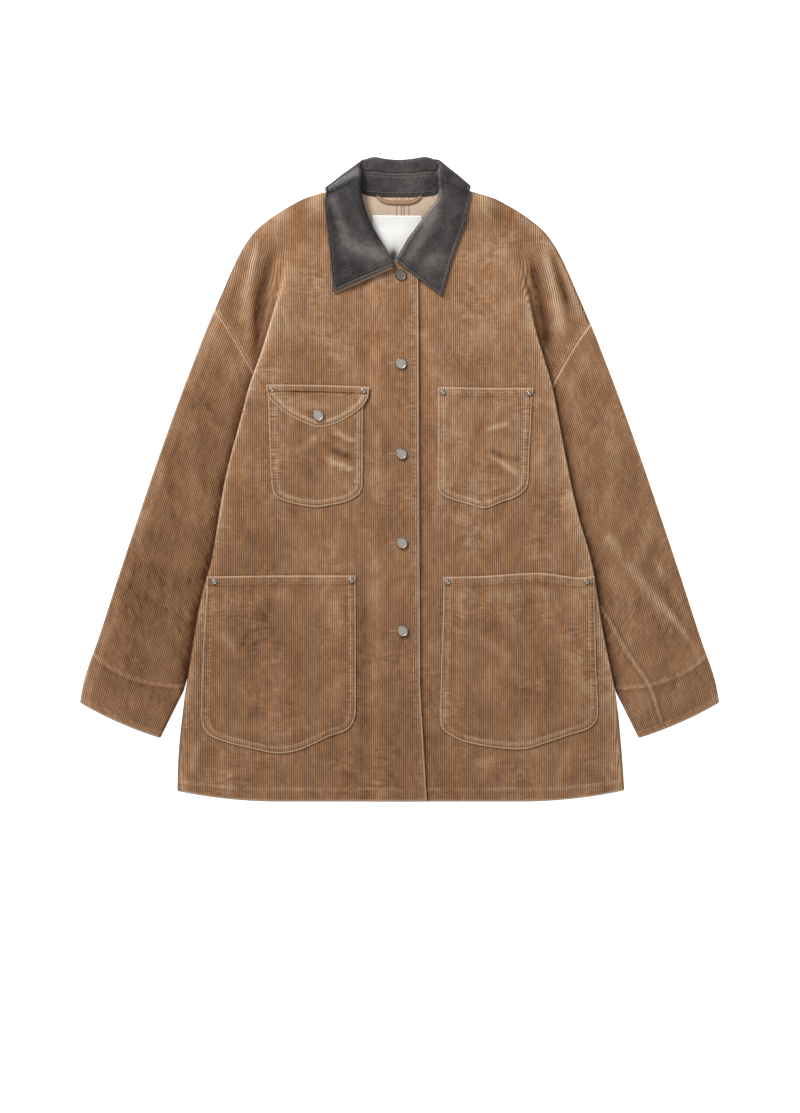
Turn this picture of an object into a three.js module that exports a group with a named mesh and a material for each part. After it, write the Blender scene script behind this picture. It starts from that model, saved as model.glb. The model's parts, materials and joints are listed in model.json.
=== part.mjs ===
import * as THREE from 'three';
import { mergeVertices } from 'three/addons/utils/BufferGeometryUtils.js';

// A corduroy chore jacket laid flat with its front up, in millimetres.
// +X is the wearer's left, +Y points to the collar and +Z away from the surface.
// Across a half of the body, "out" is the distance from the middle towards that half's sleeve.

const cloth = 1.8;
const leather = 1.4;
const underCloth = 1.2;
const pocketCloth = 1.5;
const seamGap = 0.3;
const restGap = 0.4;
const endGap = 0.9;
const airGap = 2.6;

const hemY = -402.5;
const seamX = 4;
const frontMid = cloth * 1.5 + airGap;
const backMid = cloth / 2;

// The body's folded sides lie on the sleeves: two turns of the cloth, each with its own mid-line length.
// The panel rises over rampRun towards its fold, and a little less where no sleeve is under it.
const foldTurn = { length: 5.0, steps: 4 };
const innerTurn = { length: 4.4, steps: 3 };
const rampRun = 90;
const edgeRoll = 3.2;
const sideRise = 3;
const sideTurnShare = 0.66;
const settleRun = { lowY: -326, highY: -262 };
const leastTuck = 0.6;
const collarLift = { height: 3.5, lowY: 312, highY: 343, outX: 128, inX: 100 };
// At the underarm the tucked layer reaches past the seam and the end stops short of it
const underarm = { reach: 3, short: 1.2, above: 14, below: 12, fade: 90 };
const lap = { rise: 2.4, startX: -48, endX: -26, lowY: -294, highY: -275 };
const hem = { startY: -330, rise: 13.7, fromOut: 150, toOut: 278 };

const shoulderLine = [
  { y: 376, out: 66 },
  { y: 365.5, out: 79 },
  { y: 359, out: 88 },
  { y: 354.5, out: 104 },
  { y: 349, out: 121.5 },
  { y: 330, out: 154.4 },
  { y: 311, out: 178.7 },
  { y: 292, out: 193.2 },
  { y: 274, out: 203.1 },
  { y: 255, out: 211.9 },
  { y: 236, out: 220 },
  { y: 212, out: 230.4 },
  { y: 180, out: 243.8 },
  { y: 142, out: 258.8 },
  { y: 105, out: 273.1 },
  { y: 30, out: 300 },
  { y: -45, out: 325.6 },
  { y: -120, out: 350.6 },
  { y: -195, out: 375 },
  { y: -250, out: 393.5 },
  { y: -279, out: 399.3 },
];

const halves = {
  right: {
    sign: -1,
    armhole: { topY: 212, lowY: 86, lowOut: 159, bow: -4 },
    neckline: [
      { y: 376, out: 60 },
      { y: 350, out: 61 },
      { y: 332, out: 58 },
      { y: 314, out: 50.5 },
      { y: 298, out: 41 },
      { y: 284, out: 26 },
      { y: 274, out: 11 },
      { y: 268, out: -1 },
      { y: 262, out: -22.7 },
      { y: 160, out: -23.4 },
      { y: -260, out: -25.2 },
      { y: -402.5, out: -33.6 },
    ],
    side: [
      { y: 376, fold: 63, turn: 0 },
      { y: 348, fold: 88, turn: 0 },
      { y: 314, fold: 128, turn: 0 },
      { y: 298, fold: 138, turn: 0 },
      { y: 240, fold: 149, turn: 62 },
      { y: 190, fold: 163, turn: 135 },
      { y: 160, fold: 172, turn: 180 },
      { y: 118, fold: 187, turn: 180 },
      { y: 80, fold: 197, turn: 180 },
      { y: 0, fold: 217.5, turn: 180 },
      { y: -100, fold: 234.5, turn: 180 },
      { y: -150, fold: 248, turn: 180 },
      { y: -264, fold: 267, turn: 180 },
      { y: -290, fold: 270.5, turn: 90 },
      { y: -340, fold: 275.5, turn: 90 },
      { y: -402.5, fold: 277.5, turn: 90 },
    ],
  },
  left: {
    sign: 1,
    armhole: { topY: 194, lowY: 72, lowOut: 172, bow: -6 },
    neckline: [
      { y: 376, out: 60 },
      { y: 350, out: 62 },
      { y: 332, out: 59 },
      { y: 314, out: 48 },
      { y: 298, out: 35 },
      { y: 284, out: 20 },
      { y: 274, out: 6 },
      { y: 268, out: -6 },
      { y: 262, out: -18 },
      { y: -402.5, out: -16 },
    ],
    side: [
      { y: 376, fold: 63, turn: 0 },
      { y: 348, fold: 88, turn: 0 },
      { y: 314, fold: 128, turn: 0 },
      { y: 298, fold: 142, turn: 0 },
      { y: 240, fold: 159.5, turn: 55 },
      { y: 190, fold: 169, turn: 120 },
      { y: 155, fold: 179, turn: 180 },
      { y: 118, fold: 190, turn: 180 },
      { y: 80, fold: 197.5, turn: 180 },
      { y: 0, fold: 213, turn: 180 },
      { y: -50, fold: 224.5, turn: 180 },
      { y: -100, fold: 239, turn: 180 },
      { y: -190, fold: 254, turn: 180 },
      { y: -264, fold: 269, turn: 180 },
      { y: -290, fold: 272.5, turn: 90 },
      { y: -340, fold: 277, turn: 90 },
      { y: -402.5, fold: 280.5, turn: 90 },
    ],
  },
};

// Where the inner edge of the sleeve runs, from the underarm to the cuff
const sleeveInner = { leaveY: -264, leaveOut: 269.5, cuffY: -322.5, cuffOut: 298.5 };
const cuff = { outerY: -279, bow: 3 };
const crown = { height: 1.2, inRun: 34, outRun: 30 };

// Soft ridges and troughs of the cloth, each along a straight run
const creases = [
  { part: 'front', x1: -181, y1: 282, x2: -197, y2: 205, height: 2.2, width: 9 },
  { part: 'front', x1: 168, y1: 290, x2: 203, y2: 175, height: 2.4, width: 9 },
  { part: 'front', x1: -120, y1: 215, x2: -70, y2: 150, height: 0.9, width: 16 },
  { part: 'front', x1: 120, y1: 225, x2: 84, y2: 140, height: 0.9, width: 16 },
  { part: 'front', x1: -190, y1: 60, x2: -120, y2: -95, height: 1.2, width: 16 },
  { part: 'front', x1: 185, y1: 55, x2: 110, y2: -90, height: 1.2, width: 16 },
  { part: 'front', x1: -50, y1: 10, x2: -42, y2: -100, height: 0.8, width: 12 },
  { part: 'front', x1: -70, y1: -345, x2: -40, y2: -390, height: 0.8, width: 12 },
  { part: 'front', x1: 100, y1: -345, x2: 120, y2: -392, height: 0.9, width: 14 },
  { part: 'sleeve', x1: -262, y1: 95, x2: -252, y2: -40, height: 1.2, width: 12 },
  { part: 'sleeve', x1: -322, y1: -40, x2: -296, y2: -130, height: 1.2, width: 11 },
  { part: 'sleeve', x1: -352, y1: -150, x2: -300, y2: -225, height: 1.2, width: 10 },
  { part: 'sleeve', x1: 266, y1: 100, x2: 262, y2: -60, height: 1.2, width: 12 },
  { part: 'sleeve', x1: 318, y1: -30, x2: 288, y2: -120, height: 1.2, width: 11 },
  { part: 'sleeve', x1: 288, y1: -105, x2: 352, y2: -200, height: 1.3, width: 11 },
];

// Levels of the cloth's sections from collar to hem, and the share of each panel's columns
const bodyLevels = [
  373, 365, 357, 355, 345, 332, 314, 298, 284, 274, 268, 262, 248, 230, 212, 194, 176, 158, 140, 118,
  50, 10, -40, -90, -130, -175, -220, -264, -290, -315, -345, -375, -402.5,
];
const panelSteps = 10;
const wingSteps = 4;
const wingCrowding = 1.8;
const softPanel = { least: 0.4, most: 0.62, fullSpan: 160 };

const pockets = [
  {
    name: 'chest_pocket_right', half: 'right', topY: 113, inTop: 45, outTop: 165,
    inLow: 47, outLow: 159.5, cornerY: -24, dipY: -35, dipAt: 0.5, corner: 16, band: 0,
  },
  {
    name: 'chest_pocket_left', half: 'left', topY: 114, inTop: 48.5, outTop: 167,
    inLow: 48, outLow: 161, cornerY: -18, dipY: -36, dipAt: 0.5, corner: 12, band: 9,
  },
  {
    name: 'lower_pocket_right', half: 'right', topY: -122, inTop: 55, outTop: 236,
    inLow: 55, outLow: 247.5, cornerY: -317, dipY: -342.5, dipAt: 0.52, corner: 16, band: 10,
  },
  {
    name: 'lower_pocket_left', half: 'left', topY: -121, inTop: 55, outTop: 238,
    inLow: 51, outLow: 247.5, cornerY: -315, dipY: -337, dipAt: 0.54, corner: 16, band: 10,
  },
];
const pocketHem = 0.9;
const flap = { topY: 117, inOut: 38.5, outOut: 166, sideY: 103, dipY: 65, roundness: 0.75, steps: 4 };

const buttonSize = { radius: 7, height: 2.8, rim: 1.1 };
const frontButtons = [
  { x: 1.4, y: 254.8 },
  { x: 1.9, y: 144 },
  { x: 2.3, y: 31.3 },
  { x: 3.1, y: -80 },
  { x: 4, y: -189.8 },
];
const flapButton = { x: -101.4, y: 79.3 };

const rivetSize = { radius: 3.2, height: 1.2 };
const rivets = [
  { x: -159.4, y: 111.3, on: 'flap' },
  { x: -45.6, y: 110, on: 'flap' },
  { x: 54, y: 108.6, on: 'chest_pocket_left' },
  { x: 161, y: 107, on: 'chest_pocket_left' },
  { x: -231, y: -128, on: 'lower_pocket_right' },
  { x: -60.5, y: -126.5, on: 'lower_pocket_right' },
  { x: 60, y: -128.5, on: 'lower_pocket_left' },
  { x: 233, y: -128, on: 'lower_pocket_left' },
];

const label = { x1: -34, x2: 28, topY: 329.5, lowY: 266, thickness: 0.6, rows: 6, columns: 4 };
const loop = { x1: -27.5, x2: 26.5, topY: 351.5, dipY: 346.5, width: 5.5, thickness: 1, steps: 10 };

const finishes = {
  corduroy: { color: 0x8f6f53, roughness: 0.92, metalness: 0 },
  inside: { color: 0xbfa084, roughness: 0.9, metalness: 0 },
  leather: { color: 0x3f3936, roughness: 0.5, metalness: 0 },
  label: { color: 0xefeeec, roughness: 0.8, metalness: 0 },
  metal: { color: 0x8c7f70, roughness: 0.38, metalness: 1 },
  darkMetal: { color: 0x5b544d, roughness: 0.4, metalness: 1 },
};

// Curves through the rows of a table: soft bends or straight runs between rows
function readTable(rows, by, key) {
  const points = rows.map((row) => ({ at: row[by], value: row[key] }));
  points.sort((a, b) => a.at - b.at);
  return points;
}

function bracket(points, at) {
  let index = 0;
  while (index < points.length - 2 && at > points[index + 1].at) {
    index += 1;
  }
  return index;
}

function straightThrough(rows, by, key) {
  const points = readTable(rows, by, key);
  return (at) => {
    const index = bracket(points, at);
    const a = points[index];
    const b = points[index + 1];
    const share = THREE.MathUtils.clamp((at - a.at) / (b.at - a.at), 0, 1);
    return a.value + (b.value - a.value) * share;
  };
}

function softThrough(rows, by, key) {
  const points = readTable(rows, by, key);
  const slopes = points.map((point, index) => {
    const before = points[Math.max(index - 1, 0)];
    const after = points[Math.min(index + 1, points.length - 1)];
    return (after.value - before.value) / (after.at - before.at);
  });
  return (at) => {
    const index = bracket(points, at);
    const a = points[index];
    const b = points[index + 1];
    const span = b.at - a.at;
    const t = THREE.MathUtils.clamp((at - a.at) / span, 0, 1);
    const early = (1 + 2 * t) * (1 - t) * (1 - t) * a.value + t * (1 - t) * (1 - t) * span * slopes[index];
    const late = t * t * (3 - 2 * t) * b.value - t * t * (1 - t) * span * slopes[index + 1];
    return early + late;
  };
}

function softStep(value, low, high) {
  return THREE.MathUtils.smoothstep(value, low, high);
}

function vector(x, y, z) {
  return new THREE.Vector3(x, y, z);
}

// Walls: a grid of points on the middle of the cloth, thickened to both sides
function gridNormals(grid, closed) {
  const rows = grid.length;
  const columns = grid[0].length;
  return grid.map((row, i) => row.map((point, j) => {
    const above = grid[Math.max(i - 1, 0)][j];
    const below = grid[Math.min(i + 1, rows - 1)][j];
    const before = closed ? row[(j + columns - 1) % columns] : row[Math.max(j - 1, 0)];
    const after = closed ? row[(j + 1) % columns] : row[Math.min(j + 1, columns - 1)];
    const down = below.clone().sub(above);
    const along = after.clone().sub(before);
    return along.cross(down).normalize();
  }));
}

function signedVolume(positions, faces) {
  let volume = 0;
  for (const [a, b, c] of faces) {
    volume += positions[a].dot(positions[b].clone().cross(positions[c])) / 6;
  }
  return volume;
}

function toGeometry(positions, faces) {
  const outward = signedVolume(positions, faces) > 0;
  const geometry = new THREE.BufferGeometry();
  const flat = positions.flatMap((point) => [point.x, point.y, point.z]);
  const index = faces.flatMap(([a, b, c]) => (outward ? [a, b, c] : [a, c, b]));
  geometry.setAttribute('position', new THREE.Float32BufferAttribute(flat, 3));
  geometry.setIndex(index);
  geometry.computeVertexNormals();
  return geometry;
}

function wallGeometry(grid, thickness, options = {}) {
  const { closed = false, relief = () => 0, up = 1 } = options;
  const rows = grid.length;
  const columns = grid[0].length;
  const normals = gridNormals(grid, closed);
  const positions = [];
  const push = (side) => grid.forEach((row, i) => row.forEach((point, j) => {
    const raised = side * up > 0 ? relief(i, j) : 0;
    const reach = side * (thickness / 2 + raised);
    positions.push(point.clone().addScaledVector(normals[i][j], reach));
  }));
  push(1);
  push(-1);
  const far = rows * columns;
  const at = (i, j) => i * columns + (j % columns);
  const faces = [];
  const lastColumn = closed ? columns : columns - 1;
  for (let i = 0; i < rows - 1; i += 1) {
    for (let j = 0; j < lastColumn; j += 1) {
      const [a, b, c, d] = [at(i, j), at(i, j + 1), at(i + 1, j + 1), at(i + 1, j)];
      const across = positions[a].distanceTo(positions[c]);
      const other = positions[b].distanceTo(positions[d]);
      const split = across <= other ? [[a, b, c], [a, c, d]] : [[a, b, d], [b, c, d]];
      for (const [p, q, r] of split) {
        faces.push([p, q, r]);
        faces.push([p + far, r + far, q + far]);
      }
    }
  }
  const rim = (a, b) => {
    faces.push([a, a + far, b + far]);
    faces.push([a, b + far, b]);
  };
  for (let j = 0; j < lastColumn; j += 1) {
    rim(at(0, j), at(0, j + 1));
    rim(at(rows - 1, j + 1), at(rows - 1, j));
  }
  if (!closed) {
    for (let i = 0; i < rows - 1; i += 1) {
      rim(at(i + 1, 0), at(i, 0));
      rim(at(i, columns - 1), at(i + 1, columns - 1));
    }
  }
  return toGeometry(positions, faces);
}

const jacket = new THREE.Group();

function addPiece(name, geometry, finish) {
  const material = new THREE.MeshStandardMaterial(finishes[finish]);
  const mesh = new THREE.Mesh(geometry, material);
  mesh.name = name;
  jacket.add(mesh);
}

// Heights of the laid cloth
function creaseHeight(part, x, y) {
  let height = 0;
  for (const crease of creases.filter((one) => one.part === part)) {
    const runX = crease.x2 - crease.x1;
    const runY = crease.y2 - crease.y1;
    const length = Math.hypot(runX, runY);
    const along = ((x - crease.x1) * runX + (y - crease.y1) * runY) / length;
    const aside = ((x - crease.x1) * runY - (y - crease.y1) * runX) / length;
    const fade = softStep(along, -crease.width, length * 0.3)
      * (1 - softStep(along, length * 0.7, length + crease.width));
    height += crease.height * fade * Math.exp(-((aside / crease.width) ** 2));
  }
  return height;
}

function neckLift(x, y) {
  const { height, lowY, highY, outX, inX } = collarLift;
  return height * softStep(y, lowY, highY) * (1 - softStep(Math.abs(x), inX, outX));
}

const outlineOut = softThrough(shoulderLine, 'y', 'out');

function turnDrop(angle) {
  if (angle < 0.01) {
    return 0;
  }
  return ((foldTurn.length + innerTurn.length) * (1 - Math.cos(angle))) / angle;
}

for (const half of Object.values(halves)) {
  const { armhole, sign } = half;
  half.foldOut = softThrough(half.side, 'y', 'fold');
  const turnDegrees = straightThrough(half.side, 'y', 'turn');
  half.turn = (y) => THREE.MathUtils.degToRad(turnDegrees(y));
  half.neckOut = straightThrough(half.neckline, 'y', 'out');
  half.seamOut = (y) => {
    const t = (armhole.topY - y) / (armhole.topY - armhole.lowY);
    const topOut = outlineOut(armhole.topY) - cloth / 2;
    return topOut + (armhole.lowOut - topOut) * t + armhole.bow * 4 * t * (1 - t);
  };
  half.sleeveInnerOut = (y) => {
    const slope = (sleeveInner.leaveOut - armhole.lowOut) / (armhole.lowY - sleeveInner.leaveY);
    const low = (sleeveInner.cuffOut - sleeveInner.leaveOut) / (sleeveInner.leaveY - sleeveInner.cuffY);
    if (y > sleeveInner.leaveY) {
      return armhole.lowOut + slope * (armhole.lowY - y);
    }
    return sleeveInner.leaveOut + low * (sleeveInner.leaveY - y);
  };
  half.zone = (y) => {
    if (y > armhole.topY) {
      return 'shoulder';
    }
    return y >= armhole.lowY ? 'armhole' : 'side';
  };
  half.wingEnd = (y) => {
    if (half.zone(y) !== 'armhole') {
      return outlineOut(y) - cloth / 2;
    }
    const near = 1 - softStep(y, armhole.lowY, armhole.lowY + underarm.above);
    return half.seamOut(y) - underarm.short * near;
  };
  // Below the sleeve the side of the body settles on the surface
  half.settle = (y) => (y < 0 ? softStep(y, settleRun.lowY, settleRun.highY) : 1);
  // The start of the side fold, and how far its tucked layer reaches back in
  half.foldStart = (y) => {
    const turned = half.turn(y);
    const reach = foldTurn.length / Math.max(turned, 0.4);
    const bulge = turned >= Math.PI / 2 ? reach : reach * Math.sin(turned);
    const size = sideTurnShare + (1 - sideTurnShare) * half.settle(y);
    return half.foldOut(y) - cloth / 2 - (turned > 0.01 ? bulge * size : foldTurn.length);
  };
  half.tuck = (y) => {
    const fullAt = half.side.find((row) => row.turn === 180).y;
    if (y > fullAt || half.turn(y) < Math.PI - 0.01) {
      return leastTuck;
    }
    const past = underarm.reach * softStep(y, armhole.lowY - underarm.fade, armhole.lowY - underarm.below);
    const reach = half.foldStart(y) - half.sleeveInnerOut(Math.min(y, armhole.lowY)) + past;
    const grown = softStep(fullAt - y, 0, fullAt - armhole.lowY);
    return Math.max(leastTuck, reach * grown);
  };
  half.edgeHeight = (out, y, top) => {
    const before = outlineOut(y + 4);
    const after = outlineOut(y - 4);
    const slope = (after - before) / 8;
    const inside = (outlineOut(y) - cloth / 2 - out) / Math.hypot(1, slope);
    const share = THREE.MathUtils.clamp(inside / edgeRoll, 0, 1);
    const low = cloth + endGap + neckLift(sign * out, y);
    return low + (top - low) * Math.sqrt(Math.max(0, 1 - (1 - share) ** 2));
  };
  half.wingHeight = (out, y) => {
    const x = sign * out;
    const top = frontMid + neckLift(x, y) + creaseHeight('front', x, y);
    return half.edgeHeight(out, y, top);
  };
  half.panelHeight = (out, y) => {
    const x = sign * out;
    const start = half.foldStart(y);
    const settle = half.settle(y);
    const raisedAt = start + 6 - half.tuck(y) * 0.8;
    const ramp = softStep(out, raisedAt - rampRun, raisedAt);
    const lapping = softStep(x, lap.startX, lap.endX) * softStep(-y, lap.lowY, lap.highY);
    const overlap = sign < 0 ? lap.rise * lapping : 0;
    const flatTop = frontMid + neckLift(x, y) + creaseHeight('front', x, y) + overlap;
    const overSleeve = y < 0 ? turnDrop(Math.PI) : turnDrop(half.turn(y));
    const raised = flatTop + (sideRise + (overSleeve - sideRise) * settle) * ramp;
    return half.zone(y) === 'shoulder' ? half.edgeHeight(out, y, raised) : raised;
  };
}

// The hem rises a little towards the side seams
function hemLift(out, y) {
  const share = THREE.MathUtils.clamp((hem.startY - y) / (hem.startY - hemY), 0, 1);
  const aside = Math.max(0, out - hem.fromOut) / (hem.toOut - hem.fromOut);
  return share * hem.rise * aside ** 2;
}

function halfLevels(half) {
  const { topY, lowY } = half.armhole;
  const own = [topY + 0.5, topY, lowY + underarm.above, lowY, lowY - underarm.below];
  const shared = bodyLevels.filter((y) => own.every((mine) => Math.abs(mine - y) > 7));
  return [...shared, ...own].sort((a, b) => b - a);
}

// One front panel's section: the flat panel, the fold over the sleeve, the tucked layer and the end
function frontSection(half, y) {
  const points = [];
  const start = half.neckOut(y);
  const outer = half.wingEnd(y);
  const turned = half.turn(y);
  const zone = half.zone(y);
  const foldAt = half.foldStart(y);
  const soft = turned < 0.01;
  const settled = sideTurnShare + (1 - sideTurnShare) * half.settle(y);
  const roomShare = soft ? THREE.MathUtils.clamp((outer - start) / softPanel.fullSpan, 0.05, 1) : settled;
  const least = start + (outer - start) * softPanel.least;
  const most = start + (outer - start) * softPanel.most;
  const panelEnd = soft ? THREE.MathUtils.clamp(foldAt, least, most) : foldAt;
  for (let j = 0; j <= panelSteps; j += 1) {
    const out = start + (panelEnd - start) * (j / panelSteps);
    points.push({ out, z: half.panelHeight(out, y) });
  }
  let { out, z } = points[panelSteps];
  const walk = (length, heading) => {
    out += length * Math.cos(heading);
    z -= length * Math.sin(heading);
    points.push({ out, z: soft ? half.wingHeight(out, y) : z });
  };
  for (let j = 0; j < foldTurn.steps; j += 1) {
    walk((foldTurn.length * roomShare) / foldTurn.steps, (turned * (j + 0.5)) / foldTurn.steps);
  }
  walk(half.tuck(y) * roomShare, turned);
  const endAngle = zone === 'side' ? Math.PI / 2 : 0;
  for (let j = 0; j < innerTurn.steps; j += 1) {
    const share = (j + 0.5) / innerTurn.steps;
    walk((innerTurn.length * roomShare) / innerTurn.steps, turned + (endAngle - turned) * share);
  }
  const from = { out, z };
  const lowest = cloth + restGap;
  for (let j = 1; j <= wingSteps; j += 1) {
    const share = j / wingSteps;
    if (zone === 'side') {
      points.push({ out: from.out, z: from.z + (lowest - from.z) * share });
    } else {
      const eased = 1 - (1 - share) ** wingCrowding;
      const at = from.out + (outer - from.out) * eased;
      points.push({ out: at, z: half.wingHeight(at, y) });
    }
  }
  return points;
}

function frontGrid(half) {
  return halfLevels(half).map((y) => frontSection(half, y).map(({ out, z }) => (
    vector(half.sign * out, y + hemLift(out, y), z)
  )));
}

for (const [name, half] of Object.entries(halves)) {
  half.grid = frontGrid(half);
  addPiece(`front_${name}`, wallGeometry(half.grid, cloth), 'corduroy');
}

// The height of a front's middle at a place, read from its own grid
function frontHeight(half, x, y) {
  const out = x * half.sign;
  const levels = half.grid.map((row) => row[0].y);
  let i = 0;
  while (i < levels.length - 2 && y < levels[i + 1]) {
    i += 1;
  }
  const heightIn = (row) => {
    let j = 0;
    while (j < panelSteps - 1 && out > row[j + 1].x * half.sign) {
      j += 1;
    }
    const a = row[j];
    const b = row[j + 1];
    const share = (out - a.x * half.sign) / ((b.x - a.x) * half.sign);
    return a.z + (b.z - a.z) * THREE.MathUtils.clamp(share, -0.5, 1.2);
  };
  const share = THREE.MathUtils.clamp((levels[i] - y) / (levels[i] - levels[i + 1]), 0, 1);
  return heightIn(half.grid[i]) * (1 - share) + heightIn(half.grid[i + 1]) * share;
}

// Back panels: flat on the surface, with the neckline and the same ends as the fronts
const backNeck = [
  { y: 376, out: 58.5 },
  { y: 364, out: 56.5 },
  { y: 360, out: 50 },
  { y: 357, out: 34 },
  { y: 355, out: 4 },
];
const backNeckOut = straightThrough(backNeck, 'y', 'out');
const backSteps = 6;

function backGrid(half) {
  const { sign } = half;
  const middle = sign * seamX + seamGap / 2;
  return halfLevels(half).map((y) => {
    const section = frontSection(half, y);
    const end = section[section.length - 1].out;
    const outer = half.zone(y) === 'armhole' ? end : end + cloth / 2;
    const inner = y > 355 ? backNeckOut(y) : middle;
    const row = [];
    for (let j = 0; j <= backSteps; j += 1) {
      const out = inner + (outer - inner) * (j / backSteps);
      const x = sign * out;
      row.push(vector(x, y + hemLift(out, y), backMid + neckLift(x, y)));
    }
    return row;
  });
}

for (const [name, half] of Object.entries(halves)) {
  addPiece(`back_${name}`, wallGeometry(backGrid(half), cloth), 'inside');
}

// Sleeves: flattened tubes from the armhole seam to the cuff
const sleeveRings = 16;
const sleeveTop = 11;
const sleeveBottom = 4;
const sleeveSide = 3;
const headShare = 0.25;
const sleeveEase = { shownFrom: 2, shownTo: 14, loosenBy: 0.06, hemFrom: 0.93, hemLoss: 0.7 };

function sleeveRing(half, share) {
  const { sign, armhole } = half;
  const { shownFrom, shownTo, loosenBy, hemFrom, hemLoss } = sleeveEase;
  const outerY = armhole.topY + (cuff.outerY - armhole.topY) * share;
  const innerY = armhole.lowY + (sleeveInner.cuffY - armhole.lowY) * share;
  const outer = new THREE.Vector2(outlineOut(outerY) - cloth / 2, outerY);
  const clearOfSide = restGap * softStep(share, 0, 0.05);
  const innerOut = half.sleeveInnerOut(innerY) + cloth * 0.39 + clearOfSide;
  const inner = new THREE.Vector2(innerOut, innerY);
  const across = outer.clone().sub(inner);
  const width = across.length();
  const aside = new THREE.Vector2(across.y, -across.x).divideScalar(width);
  const headBow = Math.max(0, 1 - share / headShare) ** 2;
  const place = (distance, z) => {
    const t = distance / width;
    const clear = seamGap + restGap * headBow * (1 + t);
    const bow = armhole.bow * 4 * t * (1 - t) * headBow;
    const hemBow = cuff.bow * 4 * t * (1 - t) * softStep(share, 0.8, 1);
    const spot = inner.clone().addScaledVector(across, t);
    spot.addScaledVector(aside, clear + hemBow);
    spot.x += bow;
    return vector(sign * spot.x, spot.y, z);
  };
  const low = backMid;
  const radius = (frontMid - low) / 2;
  const ring = [];
  for (let j = 0; j <= sleeveBottom; j += 1) {
    ring.push(place(radius + (width - 2 * radius) * (j / sleeveBottom), low));
  }
  for (let j = 1; j <= sleeveSide; j += 1) {
    const angle = (Math.PI * j) / (sleeveSide + 1);
    ring.push(place(width - radius + radius * Math.sin(angle), low + radius * (1 - Math.cos(angle))));
  }
  for (let j = 0; j <= sleeveTop; j += 1) {
    const distance = width - radius - (width - 2 * radius) * (j / sleeveTop);
    const spot = place(distance, 0);
    const shown = spot.x * sign - half.foldOut(Math.max(spot.y, hemY));
    const rounded = softStep(shown, 0, crown.inRun) * softStep(width - distance, 0, crown.outRun);
    const fold = creaseHeight('sleeve', spot.x, spot.y) * softStep(shown, shownFrom, shownTo);
    const loose = softStep(share, 0, loosenBy) * (1 - hemLoss * softStep(share, hemFrom, 1));
    spot.z = frontMid + (crown.height * rounded + fold) * loose;
    ring.push(spot);
  }
  for (let j = 1; j <= sleeveSide; j += 1) {
    const angle = (Math.PI * j) / (sleeveSide + 1);
    ring.push(place(radius - radius * Math.sin(angle), frontMid - radius * (1 - Math.cos(angle))));
  }
  return ring;
}

function sleeveGrid(half) {
  const grid = [];
  for (let i = 0; i <= sleeveRings; i += 1) {
    grid.push(sleeveRing(half, i / sleeveRings));
  }
  return grid;
}

for (const [name, half] of Object.entries(halves)) {
  addPiece(`sleeve_${name}`, wallGeometry(sleeveGrid(half), cloth, { closed: true }), 'corduroy');
}

// Pieces that lie on a front: their points are the panel's own, moved out
function layerGrid(half, rows, standoff) {
  return rows.map((row) => row.map(({ out, y }) => {
    const x = half.sign * out;
    return vector(x, y, frontHeight(half, x, y) + standoff);
  }));
}

const pocketColumns = 9;
const pocketRows = 8;
const onPanel = cloth / 2 + restGap + pocketCloth / 2;

function pocketOutline(pocket, across) {
  const { cornerY, dipY, dipAt, corner, inLow, outLow } = pocket;
  const width = outLow - inLow;
  const side = across < dipAt ? across / dipAt : (1 - across) / (1 - dipAt);
  const sag = (dipY - cornerY) * (0.5 - 0.5 * Math.cos(Math.PI * Math.min(1, side)));
  const near = Math.min(across, 1 - across) * width;
  const round = near < corner ? corner - Math.sqrt(corner ** 2 - (corner - near) ** 2) : 0;
  return cornerY + sag + round * 0.8;
}

function pocketRowsOf(pocket) {
  const { topY, inTop, outTop, inLow, outLow, cornerY, band } = pocket;
  const rows = [];
  const shares = [0];
  if (band > 0) {
    shares.push(band / (topY - cornerY), band / (topY - cornerY) + 0.015);
  }
  const first = shares.length;
  for (let i = first; i <= pocketRows; i += 1) {
    shares.push(shares[first - 1] + (1 - shares[first - 1]) * ((i - first + 1) / (pocketRows - first + 1)));
  }
  for (const share of shares) {
    const row = [];
    for (let j = 0; j <= pocketColumns; j += 1) {
      const even = j / pocketColumns;
      const across = 0.5 - 0.5 * Math.cos(Math.PI * even) * (0.35 + 0.65 * Math.abs(2 * even - 1) ** 0.2);
      const y = topY + (pocketOutline(pocket, across) - topY) * share;
      const down = (topY - y) / (topY - cornerY);
      const inner = inTop + (inLow - inTop) * Math.min(1, down);
      const outer = outTop + (outLow - outTop) * Math.min(1, down);
      row.push({ out: inner + (outer - inner) * across, y });
    }
    rows.push(row);
  }
  return rows;
}

for (const pocket of pockets) {
  const half = halves[pocket.half];
  const grid = layerGrid(half, pocketRowsOf(pocket), onPanel);
  const relief = (i) => (pocket.band > 0 && i <= 1 ? pocketHem : 0);
  addPiece(pocket.name, wallGeometry(grid, pocketCloth, { relief, up: -half.sign }), 'corduroy');
}

function flapRows() {
  const rows = [];
  for (let i = 0; i <= flap.steps; i += 1) {
    const row = [];
    for (let j = 0; j <= pocketColumns; j += 1) {
      const across = j / pocketColumns;
      const curve = Math.sin(Math.PI * across) ** flap.roundness;
      const low = flap.sideY + (flap.dipY - flap.sideY) * curve;
      const out = flap.inOut + (flap.outOut - flap.inOut) * across;
      row.push({ out, y: flap.topY + (low - flap.topY) * (i / flap.steps) });
    }
    rows.push(row);
  }
  return rows;
}

const onPocket = onPanel + pocketCloth + restGap;
const flapGrid = layerGrid(halves.right, flapRows(), onPocket);
addPiece('pocket_flap', wallGeometry(flapGrid, pocketCloth), 'corduroy');

// Buttons and rivets are turned solids that stand on the cloth
function turned(profile, sides) {
  const points = profile.map(([radius, height]) => new THREE.Vector2(radius, height));
  return new THREE.LatheGeometry(points, sides).rotateX(Math.PI / 2);
}

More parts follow.
